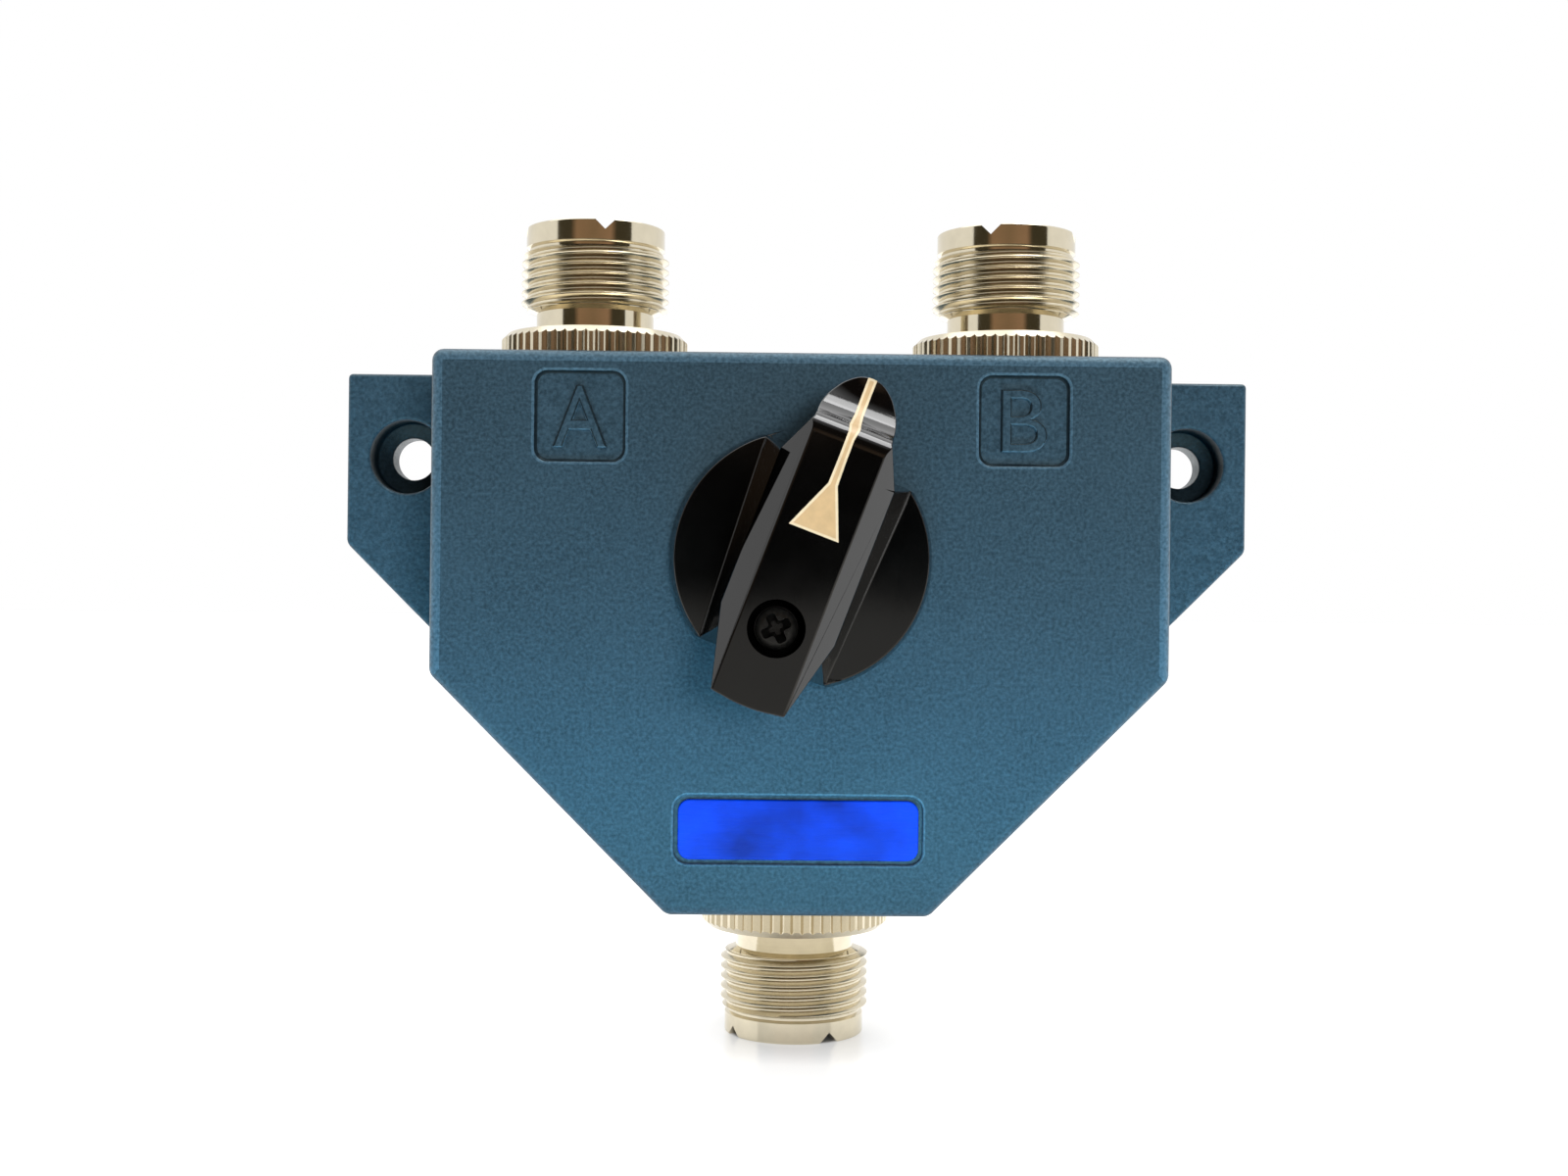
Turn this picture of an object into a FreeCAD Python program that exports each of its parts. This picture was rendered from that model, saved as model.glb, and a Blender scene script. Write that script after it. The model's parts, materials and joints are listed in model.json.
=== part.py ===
"""Two-way coaxial antenna switch: a die-cast box with three UHF ports and a pointer knob.

X runs to the right as seen from the front, Y to the back and Z up, in millimetres. The origin
lies on the mounting plane, midway between the two screw holes of the ears.
"""
import FreeCAD, Part
import Sketcher
import math
import os
import re

Vector = FreeCAD.Vector

SIZES = {
    # Die-cast box, seen from the front: heights are measured from the line of the screw holes
    "box_width": 74.4,
    "box_depth": 32.0,
    "box_above": 9.3,
    "box_below": 47.3,
    "corner_cut": 24.0,
    "box_round": 1.2,
    "front_wall": 4.0,
    "side_wall": 3.0,
    "port_wall": 6.0,
    # Mounting ears
    "ear_wide": 13.5,
    "ear_thick": 8.0,
    "ear_round": 0.5,
    "hole_out": 6.8,
    "hole_bore": 4.8,
    "sink_bore": 8.3,
    "sink_deep": 4.4,
    # Rear cover and its screws
    "cover_thick": 1.6,
    "cover_lip": 1.4,
    "cover_gap": 0.1,
    "boss_round": 3.2,
    "boss_inset": 2.1,
    "screw_bore": 3.0,
    "screw_long": 8.0,
    "screw_head": 5.8,
    "head_slope": 1.4,
    "thread_gap": 0.02,
    "screw_hole": 3.4,
    # Port marks and badge, sunk into the front face
    "mark_side": 9.2,
    "mark_round": 1.3,
    "mark_deep": 0.4,
    "mark_below": 6.7,
    "badge_wide": 24.9,
    "badge_tall": 6.84,
    "badge_round": 1.4,
    "badge_deep": 0.5,
    "badge_up": 8.7,
    "badge_gap": 0.4,
    "badge_thick": 0.4,
    # UHF port: heights along its axis are measured from the seat of its ring on the box
    "port_pitch": 44.5,
    "ring_bore": 20.0,
    "ring_thick": 3.35,
    "ring_bevel": 0.7,
    "neck_bore": 12.6,
    "neck_end": 5.55,
    "thread_bore": 15.875,
    "thread_start": 6.3,
    "thread_end": 12.0,
    "relief_bore": 14.3,
    "rim_start": 12.65,
    "rim_bore": 14.9,
    "rim_bevel": 0.2,
    "port_long": 14.8,
    "notch_wide": 2.3,
    "notch_deep": 1.1,
    "barrel_bore": 12.7,
    "barrel_floor": 6.6,
    "shank_bore": 14.0,
    "core_bore": 11.4,
    "turn_a": 12.4,
    "turn_b": -19.7,
    "turn_common": -29.5,
    # Insulator and centre contact
    "insert_gap": 0.04,
    "insert_step": 1.0,
    "insert_proud": 1.0,
    "contact_bore": 5.4,
    "contact_proud": 1.5,
    "tip_below": 1.4,
    "socket_bore": 4.0,
    "socket_deep": 9.0,
    "slit_wide": 0.5,
    "slit_deep": 5.4,
    "pin_bore": 2.4,
    "pin_past": 0.5,
    # Straps
    "strap_thick": 0.6,
    "strap_wide": 3.6,
    "strap_hole": 2.5,
    "lug_reach": 2.4,
    "lug_stand": 3.4,
    "contact_room": 0.4,
    "touch_gap": 0.05,
    # Switch rotor, blade and pivot rivet: heights along their axis start at the front face
    "knob_below": 20.8,
    "half_throw": 20.7,
    "journal_bore": 18.86,
    "journal_play": 0.07,
    "flange_bore": 27.0,
    "flange_thick": 2.5,
    "hub_bore": 10.0,
    "blade_thick": 0.8,
    "blade_wide": 4.0,
    "blade_reach": 12.5,
    "blade_tail": 3.6,
    "blade_seat": 0.4,
    "rivet_bore": 2.5,
    "rivet_head": 5.2,
    "rivet_cap": 0.9,
    "rivet_deep": 5.0,
    # Stop pin and detent
    "stop_round": 11.5,
    "stop_bore": 2.0,
    "stop_sunk": 3.0,
    "stop_past": 0.4,
    "window_gap": 0.15,
    "ball_bore": 2.4,
    "ball_proud": 0.5,
    "spring_wire": 0.25,
    "spring_turns": 3.0,
    "spring_long": 1.25,
    # Knob: heights are measured from the front face, reaches from its axis towards the nose
    "knob_gap": 0.3,
    "knob_high": 16.0,
    "skirt_bore": 26.0,
    "skirt_high": 3.0,
    "skirt_slope": 0.4,
    "skirt_land": 1.2,
    "foot_nose": 10.2,
    "foot_tail": 10.9,
    "foot_nose_half": 7.5,
    "foot_tail_half": 6.55,
    "waist_reach": 8.7,
    "bar_half": 5.65,
    "flat_half": 3.55,
    "flat_drop": 2.2,
    "wide_nose": 8.7,
    "wide_tail": 6.7,
    "nose_root": 12.5,
    "nose_half": 3.8,
    "nose_tip": 18.2,
    "nose_round": 1.6,
    "tail_reach": 14.4,
    "tail_half": 3.6,
    "tail_bulge": 0.45,
    "step_drop": 1.7,
    "step_run": 0.6,
    "step_round": 1.6,
    "tip_high": 9.2,
    "tip_thick": 1.2,
    "scoop_round": 9.3,
    "belly_high": 5.5,
    "belly_reach": 9.0,
    "tail_belly": 9.0,
    "stem_bore": 8.0,
    "stem_long": 7.0,
    "stem_gap": 0.05,
    "clamp_reach": 7.1,
    "clamp_well": 5.4,
    "clamp_sunk": 1.5,
    "clamp_head": 4.0,
    "clamp_cap": 1.6,
    "clamp_bore": 2.5,
    "clamp_hole": 2.6,
    "clamp_bite": 5.0,
    "cross_wide": 0.7,
    "cross_span": 2.4,
    "cross_deep": 0.8,
    # Pointer inlay
    "inlay_thick": 0.3,
    "arrow_base": 2.3,
    "arrow_half": 2.45,
    "arrow_neck": 7.1,
    "line_half": 0.43,
}

ALIAS = re.compile(r"\b(" + "|".join(SIZES) + r")\b")

doc = FreeCAD.newDocument("AntennaSwitch")
sheet = doc.addObject("Spreadsheet::Sheet", "Sizes")
for row, (alias, size) in enumerate(SIZES.items(), start=1):
    sheet.set(f"A{row}", alias)
    sheet.set(f"B{row}", str(size))
    sheet.setAlias(f"B{row}", alias)
sheet.recompute()
slate = doc.addObject("Spreadsheet::Sheet", "Slate")


# ---------------------------------------------------------------- helpers

def linked(formula):
    """Write each size in a formula as a reference to the sheet."""
    return ALIAS.sub(r"Sizes.\1", formula)


def bind(thing, path, formula):
    """Tie a property to a formula over the sizes."""
    thing.setExpression(path, linked(formula))


def number(formula):
    """Work out a formula for the sizes as they stand."""
    slate.set("A1", "=" + linked(formula))
    slate.recompute()
    return float(slate.get("A1"))


def place(thing, x="0", y="0", z="0", angle=None, axis=Vector(0, 0, 1)):
    """Tie a placement to formulas; the angle turns it about the axis."""
    if angle is not None:
        thing.Placement = FreeCAD.Placement(Vector(), FreeCAD.Rotation(axis, number(angle)))
        bind(thing, "Placement.Rotation.Angle", angle)
    for name, formula in (("x", x), ("y", y), ("z", z)):
        bind(thing, f"Placement.Base.{name}", formula)


def new_body(label):
    body = doc.addObject("PartDesign::Body", label)
    body.Label = label
    return body


def new_sketch(body, name, plane, offset="0"):
    """A sketch on one of the body's origin planes, moved along its normal."""
    sketch = body.newObject("Sketcher::SketchObject", f"{body.Name}_{name}")
    support = [part for part in body.Origin.OriginFeatures if part.Role == plane]
    sketch.AttachmentSupport = [(support[0], "")]
    sketch.MapMode = "FlatFace"
    bind(sketch, "AttachmentOffset.Base.z", offset)
    return sketch


def fix(sketch, kind, places, formula):
    """Add a constraint whose value follows a formula."""
    index = sketch.addConstraint(Sketcher.Constraint(kind, *places, number(formula)))
    sketch.setExpression(f"Constraints[{index}]", linked(formula))


def arc_through(start, end, radius):
    """An arc that bulges to the right of the way from start to end, or left if below zero."""
    chord = end.sub(start)
    half = chord.Length / 2
    bulge = abs(radius) - math.sqrt(max(radius ** 2 - half ** 2, 0))
    side = Vector(chord.y, -chord.x, 0).normalize().multiply(math.copysign(1, radius))
    middle = start.add(end).multiply(0.5).add(side.multiply(bulge))
    return Part.Arc(start, middle, end)


def outline(sketch, corners):
    """Add a closed outline to a sketch, anticlockwise on the sketch.

    Each corner holds the formulas of its two coordinates. A third formula is the radius of an
    arc that ends there: above zero it bulges outwards, below zero inwards.
    """
    first = sketch.GeometryCount
    points = [Vector(number(corner[0]), number(corner[1]), 0) for corner in corners]
    tails = []
    for index, corner in enumerate(corners):
        start, end = points[index - 1], points[index]
        if len(corner) == 2:
            sketch.addGeometry(Part.LineSegment(start, end))
        else:
            sketch.addGeometry(arc_through(start, end, number(corner[2])))
        edge = first + index
        swapped = sketch.getPoint(edge, 1).distanceToPoint(start) > 1e-6
        tails.append(1 if swapped else 2)
    for index, corner in enumerate(corners):
        edge = first + index
        following = (index + 1) % len(corners)
        head = 3 - tails[following]
        sketch.addConstraint(Sketcher.Constraint(
            "Coincident", edge, tails[index], first + following, head))
        fix(sketch, "DistanceX", (-1, 1, edge, tails[index]), corner[0])
        fix(sketch, "DistanceY", (-1, 1, edge, tails[index]), corner[1])
        if len(corner) == 3:
            fix(sketch, "Radius", (edge,), f"abs({corner[2]})")


def circle(sketch, across, up, bore):
    """Add a circle of the given bore to a sketch."""
    edge = sketch.addGeometry(Part.Circle(
        Vector(number(across), number(up), 0), Vector(0, 0, 1), number(bore) / 2))
    fix(sketch, "DistanceX", (-1, 1, edge, 3), across)
    fix(sketch, "DistanceY", (-1, 1, edge, 3), up)
    fix(sketch, "Diameter", (edge,), bore)


def mirrored(corners):
    """The right half of an outline, from bottom to top, and its mirror image on the left."""
    return corners + signed(corners, "-")


def rounded_box(half_wide, middle_up, half_tall, radius):
    """Corners of a rounded rectangle about a point on the sketch's upright axis."""
    def corner(sign_x, sign_y, cut_x, cut_y):
        across = f"{sign_x}({half_wide} - {cut_x})"
        up = f"({middle_up}) {sign_y} ({half_tall} - {cut_y})"
        return (across, up)

    right_low = corner("", "-", radius, "0")
    low_right = corner("", "-", "0", radius) + (radius,)
    high_right = corner("", "+", "0", radius)
    right_high = corner("", "+", radius, "0") + (radius,)
    left_high = corner("-", "+", radius, "0")
    high_left = corner("-", "+", "0", radius) + (radius,)
    low_left = corner("-", "-", "0", radius)
    left_low = corner("-", "-", radius, "0") + (radius,)
    return [right_low, low_right, high_right, right_high, left_high, high_left, low_left, left_low]


def signed(corners, sign):
    """The same outline, or its mirror image where the sign is a minus."""
    if sign == "-":
        return [("-(" + corner[0] + ")", corner[1]) for corner in reversed(corners)]
    return corners


def shifted(corners, across):
    """The same corners moved sideways."""
    return [(f"({across}) + ({corner[0]})",) + tuple(corner[1:]) for corner in corners]


def feature(kind, sketch, length, reverse=False, both_ways=False):
    """Pad or pocket a sketch of a body; its solid must change."""
    body = sketch.getParentGeoFeatureGroup()
    made = body.newObject(f"PartDesign::{kind}", f"{sketch.Name}_{kind}")
    made.Profile = sketch
    bind(made, "Length", length)
    made.Reversed = reverse
    if both_ways:
        made.SideType = "Symmetric"
    sketch.Visibility = False
    doc.recompute()
    return made


def pad(sketch, length, **ways):
    return feature("Pad", sketch, length, **ways)


def pocket(sketch, length, **ways):
    base = sketch.getParentGeoFeatureGroup().Shape.Volume
    made = feature("Pocket", sketch, length, **ways)
    if made.Shape.Volume > base - 1e-6:
        raise ValueError(f"{made.Name} cuts nothing")
    return made


def turned(sketch, kind="Revolution", axis="V_Axis", angle="360"):
    """Turn a sketch about one of its axes, as a Revolution or as a Groove."""
    body = sketch.getParentGeoFeatureGroup()
    made = body.newObject(f"PartDesign::{kind}", f"{sketch.Name}_{kind}")
    made.Profile = sketch
    made.ReferenceAxis = (sketch, [axis])
    bind(made, "Angle", angle)
    made.Midplane = True
    sketch.Visibility = False
    doc.recompute()
    return made


def repeated(made, axis_role, count):
    """Repeat a feature about an axis of its body."""
    body = made.getParentGeoFeatureGroup()
    pattern = body.newObject("PartDesign::PolarPattern", f"{made.Name}_pattern")
    pattern.Originals = [made]
    axis = [part for part in body.Origin.OriginFeatures if part.Role == axis_role]
    pattern.Axis = (axis[0], [""])
    pattern.Angle = 360
    pattern.Occurrences = count
    body.Tip = pattern
    doc.recompute()
    return pattern


def dressed(base, kind, size, wanted):
    """Fillet or chamfer the edges of a feature for which a test holds."""
    names = [f"Edge{number_}" for number_, edge in enumerate(base.Shape.Edges, start=1)
             if wanted(edge)]
    body = base.getParentGeoFeatureGroup()
    made = body.newObject(f"PartDesign::{kind}", f"{base.Name}_{kind}")
    made.Base = (base, names)
    bind(made, "Radius" if kind == "Fillet" else "Size", size)
    doc.recompute()
    return made


def joined(kind, label, shapes):
    """A boolean of several objects: MultiFuse or MultiCommon."""
    made = doc.addObject(f"Part::{kind}", label)
    made.Label = label
    made.Shapes = shapes
    return made


def cut(label, base, tool):
    made = doc.addObject("Part::Cut", label)
    made.Label = label
    made.Base = base
    made.Tool = tool
    return made


def cylinder(name, bore, height, x="0", y="0", z="0"):
    """A cylinder along Y that starts at a point and runs towards the back."""
    made = doc.addObject("Part::Cylinder", name)
    bind(made, "Radius", f"({bore}) / 2")
    bind(made, "Height", height)
    made.Placement = FreeCAD.Placement(Vector(), FreeCAD.Rotation(Vector(1, 0, 0), -90))
    for part, formula in (("x", x), ("y", y), ("z", z)):
        bind(made, f"Placement.Base.{part}", formula)
    return made


def cross_recess(name, x, y, z, depth):
    """Two crossed slots that start at a point and run to a depth along Y."""
    arms = []
    for arm, (wide, tall) in enumerate((("cross_span", "cross_wide"), ("cross_wide", "cross_span"))):
        box = doc.addObject("Part::Box", f"{name}_arm{arm}")
        bind(box, "Length", wide)
        bind(box, "Width", depth)
        bind(box, "Height", tall)
        bind(box, "Placement.Base.x", f"({x}) - {wide} / 2")
        bind(box, "Placement.Base.y", y)
        bind(box, "Placement.Base.z", f"({z}) - {tall} / 2")
        arms.append(box)
    return joined("MultiFuse", name, arms)


# ---------------------------------------------------------------- places that several pieces share

DIAGONAL = "(box_width / 2 + box_below - corner_cut)"
EAR_SIDE = "(box_width / 2 + ear_wide)"
CAVITY_HALF = "(box_width / 2 - side_wall)"
CAVITY_TOP = "(box_above - port_wall)"
CAVITY_LOW = "(box_below - port_wall)"
CAVITY_DIAGONAL = f"({DIAGONAL} - side_wall * sqrt(2))"
CAVITY_DEEP = "(box_depth - front_wall)"
AXIS_UP = "(box_above - knob_below)"
PORT_Y = "(-box_depth / 2)"
BOSSES = (
    (f"{CAVITY_HALF} - boss_inset", f"{CAVITY_TOP} - boss_inset"),
    (f"{CAVITY_DIAGONAL} - {CAVITY_LOW} - boss_inset", f"boss_inset - {CAVITY_LOW}"),
)
BLADE_BACK = "(box_depth / 2 + blade_thick / 2)"
HUB_END = "(box_depth / 2 - blade_thick / 2 + blade_seat)"
BLADE_LEFT = "(box_depth / 2 - blade_thick / 2)"
STRAP_UP = f"({AXIS_UP} + (blade_reach - 0.5) * cos(half_throw))"
CONTACT_END = "(port_wall + contact_proud)"
FLANGE_FRONT = "(front_wall + touch_gap)"
COMMON_LUG = f"({CONTACT_END} + lug_stand)"


def hexagon(half, top, low, diagonal):
    """The six-sided front outline: square at the top and cut at 45 degrees below."""
    return mirrored([
        (f"{diagonal} - {low}", f"-{low}"),
        (half, f"{half} - {diagonal}"),
        (half, top),
    ])


# ---------------------------------------------------------------- housing and rear cover

def make_housing():
    body = new_body("housing")
    front = new_sketch(body, "front", "XZ_Plane")
    outline(front, hexagon("box_width / 2", "box_above", "box_below", DIAGONAL))
    block = pad(front, "box_depth")
    back = lambda edge: edge.BoundBox.YMin > -1e-3
    rounded = dressed(block, "Fillet", "box_round", lambda edge: not back(edge))

    ears = new_sketch(body, "ears", "XZ_Plane")
    outline(ears, mirrored([
        ("box_width / 2 - corner_cut / 2", "corner_cut / 2 - box_below"),
        (EAR_SIDE, f"{EAR_SIDE} - {DIAGONAL}"),
        (EAR_SIDE, "box_above"),
    ]))
    plate = pad(ears, "ear_thick")
    half = number(EAR_SIDE)
    outer = lambda edge: edge.BoundBox.XMin > half - 1e-3 or edge.BoundBox.XMax < 1e-3 - half
    dressed(plate, "Fillet", "ear_round", lambda edge: outer(edge) and not back(edge))

    holes = new_sketch(body, "ear_holes", "XZ_Plane", "ear_thick")
    sinks = new_sketch(body, "ear_sinks", "XZ_Plane", "ear_thick")
    for side in ("-", ""):
        circle(holes, f"{side}(box_width / 2 + hole_out)", "0", "hole_bore")
        circle(sinks, f"{side}(box_width / 2 + hole_out)", "0", "sink_bore")
    pocket(holes, "ear_thick")
    pocket(sinks, "sink_deep")

    cavity = new_sketch(body, "cavity", "XZ_Plane")
    outline(cavity, hexagon(CAVITY_HALF, CAVITY_TOP, CAVITY_LOW, CAVITY_DIAGONAL))
    pocket(cavity, CAVITY_DEEP, reverse=True)

    bosses = new_sketch(body, "bosses", "XZ_Plane", "cover_thick")
    tapped = new_sketch(body, "tapped", "XZ_Plane", "cover_thick")
    for across, up in BOSSES:
        for side in ("-", ""):
            circle(bosses, f"{side}({across})", up, "boss_round * 2")
            circle(tapped, f"{side}({across})", up, "screw_bore + 2 * thread_gap")
    pad(bosses, f"{CAVITY_DEEP} - cover_thick")

    rebate = new_sketch(body, "rebate", "XZ_Plane")
    outline(rebate, hexagon(f"{CAVITY_HALF} + cover_lip", f"{CAVITY_TOP} + cover_lip",
                            f"({CAVITY_LOW} + cover_lip)",
                            f"({CAVITY_DIAGONAL} + cover_lip * sqrt(2))"))
    pocket(rebate, "cover_thick", reverse=True)
    pocket(tapped, "screw_long", reverse=True)

    bore = new_sketch(body, "rotor_bore", "XZ_Plane", "box_depth")
    circle(bore, "0", AXIS_UP, "journal_bore + 2 * journal_play")
    pocket(bore, "front_wall")

    stop = new_sketch(body, "stop_hole", "XZ_Plane", CAVITY_DEEP)
    circle(stop, "0", f"{AXIS_UP} - stop_round", "stop_bore + 2 * thread_gap")
    pocket(stop, "stop_sunk", reverse=True)
    detent = new_sketch(body, "detent_hole", "XZ_Plane", CAVITY_DEEP)
    circle(detent, "0", f"{AXIS_UP} + stop_round", "ball_bore + 4 * touch_gap")
    pocket(detent, "ball_bore - ball_proud + spring_long + touch_gap", reverse=True)

    top_ports = new_sketch(body, "top_ports", "XY_Plane", "box_above")
    for side in ("-", ""):
        circle(top_ports, f"{side}port_pitch / 2", PORT_Y, "shank_bore + 2 * thread_gap")
    pocket(top_ports, "port_wall")
    low_port = new_sketch(body, "low_port", "XY_Plane", "-box_below")
    circle(low_port, "0", PORT_Y, "shank_bore + 2 * thread_gap")
    pocket(low_port, "port_wall", reverse=True)

    marks = new_sketch(body, "marks", "XZ_Plane", "box_depth")
    mark = rounded_box("mark_side / 2", "box_above - mark_below", "mark_side / 2", "mark_round")
    outline(marks, shifted(mark, "-port_pitch / 2"))
    outline(marks, shifted(mark, "port_pitch / 2"))
    pocket(marks, "mark_deep")
    badge = new_sketch(body, "badge", "XZ_Plane", "box_depth")
    outline(badge, rounded_box("badge_wide / 2", "badge_up - box_below", "badge_tall / 2",
                               "badge_round"))
    pocket(badge, "badge_deep")


def make_rear_cover():
    body = new_body("rear_cover")
    plate = new_sketch(body, "plate", "XZ_Plane")
    lip = "(cover_lip - cover_gap)"
    outline(plate, hexagon(f"{CAVITY_HALF} + {lip}", f"{CAVITY_TOP} + {lip}",
                           f"({CAVITY_LOW} + {lip})", f"({CAVITY_DIAGONAL} + {lip} * sqrt(2))"))
    pad(plate, "cover_thick")
    holes = new_sketch(body, "holes", "XZ_Plane")
    for across, up in BOSSES:
        for side in ("-", ""):
            circle(holes, f"{side}({across})", up, "screw_hole")
    drilled = pocket(holes, "cover_thick", reverse=True)
    round_back = lambda edge: edge.Closed and edge.BoundBox.YMin > -1e-3
    dressed(drilled, "Chamfer", "head_slope", round_back)


def make_cover_screws():
    """Four countersunk screws, their heads flush with the back."""
    screws = []
    for row, (across, up) in enumerate(BOSSES):
        for side, sign in (("left", "-"), ("right", "")):
            name = f"cover_screw_{side}{row}"
            x = f"{sign}({across})"
            shank = cylinder(f"{name}_shank", "screw_bore", "screw_long", x, "-screw_long", up)
            head = doc.addObject("Part::Cone", f"{name}_head")
            bind(head, "Radius1", "screw_bore / 2")
            bind(head, "Radius2", "screw_head / 2")
            bind(head, "Height", "head_slope")
            head.Placement = FreeCAD.Placement(
                Vector(), FreeCAD.Rotation(Vector(1, 0, 0), -90))
            bind(head, "Placement.Base.x", x)
            bind(head, "Placement.Base.y", "-head_slope")
            bind(head, "Placement.Base.z", up)
            solid = joined("MultiFuse", f"{name}_solid", [shank, head])
            recess = cross_recess(f"{name}_cross", x, "-cross_deep", up, "cross_deep")
            screws.append(cut(name, solid, recess))
    group = doc.addObject("Part::Compound", "cover_screws")
    group.Label = "cover_screws"
    group.Links = screws


def make_badge_plate():
    body = new_body("badge_plate")
    face = new_sketch(body, "face", "XZ_Plane", "box_depth - badge_deep")
    outline(face, rounded_box("(badge_wide / 2 - badge_gap)", "badge_up - box_below",
                              "(badge_tall / 2 - badge_gap)", "(badge_round - badge_gap / 2)"))
    pad(face, "badge_thick")


# ---------------------------------------------------------------- UHF ports

def put_port(body, side):
    """Set a port's piece on the box: left and right on top, the common one below."""
    if side == "common":
        body.Placement = FreeCAD.Placement(Vector(), FreeCAD.Rotation(Vector(1, 0, 0), 180))
        bind(body, "Placement.Base.y", PORT_Y)
        bind(body, "Placement.Base.z", "-box_below")
        return
    sign = "-" if side == "a" else ""
    place(body, f"{sign}port_pitch / 2", PORT_Y, "box_above")


def make_ring(side):
    """The knurled ring that locks a port's shank to the box."""
    body = new_body(f"port_{side}_ring")
    half = new_sketch(body, "half", "XZ_Plane")
    outline(half, [
        ("shank_bore / 2 + thread_gap", "0"),
        ("ring_bore / 2", "0"),
        ("ring_bore / 2", "ring_thick - ring_bevel"),
        ("ring_bore / 2 - ring_bevel", "ring_thick"),
        ("shank_bore / 2 + thread_gap", "ring_thick"),
    ])
    turned(half)
    put_port(body, side)


def make_shell(side):
    body = new_body(f"port_{side}_shell")
    half = new_sketch(body, "half", "XZ_Plane")
    outline(half, [
        ("core_bore / 2", "-port_wall"),
        ("shank_bore / 2", "-port_wall"),
        ("shank_bore / 2", "ring_thick"),
        ("neck_bore / 2", "ring_thick"),
        ("neck_bore / 2", "neck_end"),
        ("thread_bore / 2", "thread_start"),
        ("thread_bore / 2", "thread_end"),
        ("relief_bore / 2", "thread_end + (thread_bore - relief_bore) / 6"),
        ("relief_bore / 2", "rim_start - (rim_bore - relief_bore) / 2"),
        ("rim_bore / 2", "rim_start"),
        ("rim_bore / 2", "port_long - rim_bevel"),
        ("rim_bore / 2 - rim_bevel", "port_long"),
        ("barrel_bore / 2", "port_long"),
        ("barrel_bore / 2", "barrel_floor"),
        ("core_bore / 2", "barrel_floor"),
    ])
    turned(half)
    notch = new_sketch(body, "notch", "XZ_Plane")
    outline(notch, [
        ("0", "port_long - notch_deep"),
        ("notch_wide / 2", "port_long"),
        ("notch_wide / 2", "port_long + notch_deep"),
        ("-notch_wide / 2", "port_long + notch_deep"),
        ("-notch_wide / 2", "port_long"),
    ])
    repeated(pocket(notch, "ring_bore"), "Z_Axis", 4)
    put_port(body, side)
    turn = FreeCAD.Rotation(Vector(0, 0, 1), number(f"turn_{side}"))
    if side == "common":
        body.Placement.Rotation = FreeCAD.Rotation(Vector(1, 0, 0), 180).multiply(turn)
    else:
        body.Placement.Rotation = turn
        bind(body, "Placement.Rotation.Angle", f"turn_{side}")


def make_insulator(side):
    body = new_body(f"port_{side}_insulator")
    half = new_sketch(body, "half", "XZ_Plane")
    outline(half, [
        ("contact_bore / 2 + insert_gap", "-port_wall - insert_proud"),
        ("core_bore / 2 - insert_gap", "-port_wall - insert_proud"),
        ("core_bore / 2 - insert_gap", "barrel_floor"),
        ("barrel_bore / 2 - insert_gap", "barrel_floor"),
        ("barrel_bore / 2 - insert_gap", "barrel_floor + insert_step"),
        ("contact_bore / 2 + insert_gap", "barrel_floor + insert_step"),
    ])
    turned(half)
    put_port(body, side)


def make_contact(side, pin_end):
    """A slotted socket with a shoulder and a solder pin at its inner end."""
    body = new_body(f"port_{side}_contact")
    tip = "(port_long - tip_below)"
    floor = f"({tip} - socket_deep)"
    half = new_sketch(body, "half", "XZ_Plane")
    outline(half, [
        ("0", pin_end),
        ("pin_bore / 2", pin_end),
        ("pin_bore / 2", f"-{CONTACT_END}"),
        ("contact_bore / 2", f"-{CONTACT_END}"),
        ("contact_bore / 2", f"{tip} - rim_bevel"),
        ("contact_bore / 2 - rim_bevel", tip),
        ("socket_bore / 2", tip),
        ("socket_bore / 2", floor),
        ("0", f"{floor} - socket_bore / 4"),
    ])
    turned(half)
    slit = new_sketch(body, "slit", "XZ_Plane")
    outline(slit, [
        ("-slit_wide / 2", f"{tip} - slit_deep"),
        ("slit_wide / 2", f"{tip} - slit_deep"),
        ("slit_wide / 2", f"{tip} + slit_wide"),
        ("-slit_wide / 2", f"{tip} + slit_wide"),
    ])
    repeated(pocket(slit, "contact_bore"), "Z_Axis", 4)
    put_port(body, side)


def make_port_strap(side):
    """A bent strip from the pin of a top port to the place where the blade meets it."""
    body = new_body(f"port_{side}_strap")
    sign = "-" if side == "a" else ""
    inner = "(blade_reach * sin(half_throw) - blade_wide * 0.4)"
    outer = "(port_pitch / 2 - contact_bore / 2 - contact_room)"
    low = f"({STRAP_UP} - strap_wide / 2)"
    high = f"({STRAP_UP} + strap_wide / 2)"
    strip = new_sketch(body, "strip", "XZ_Plane", f"{BLADE_LEFT} - touch_gap - strap_thick")
    outline(strip, signed([(inner, low), (outer, low), (outer, high), (inner, high)], sign))
    pad(strip, "strap_thick")
    near = f"({outer} - lug_reach)"
    far = "(port_pitch / 2 + lug_reach)"
    make_lug(body, low, signed([
        (near, f"{PORT_Y} - lug_reach"),
        (far, f"{PORT_Y} - lug_reach"),
        (far, f"{PORT_Y} + lug_reach"),
        (near, f"{PORT_Y} + lug_reach"),
    ], sign), f"{sign}port_pitch / 2")


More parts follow.
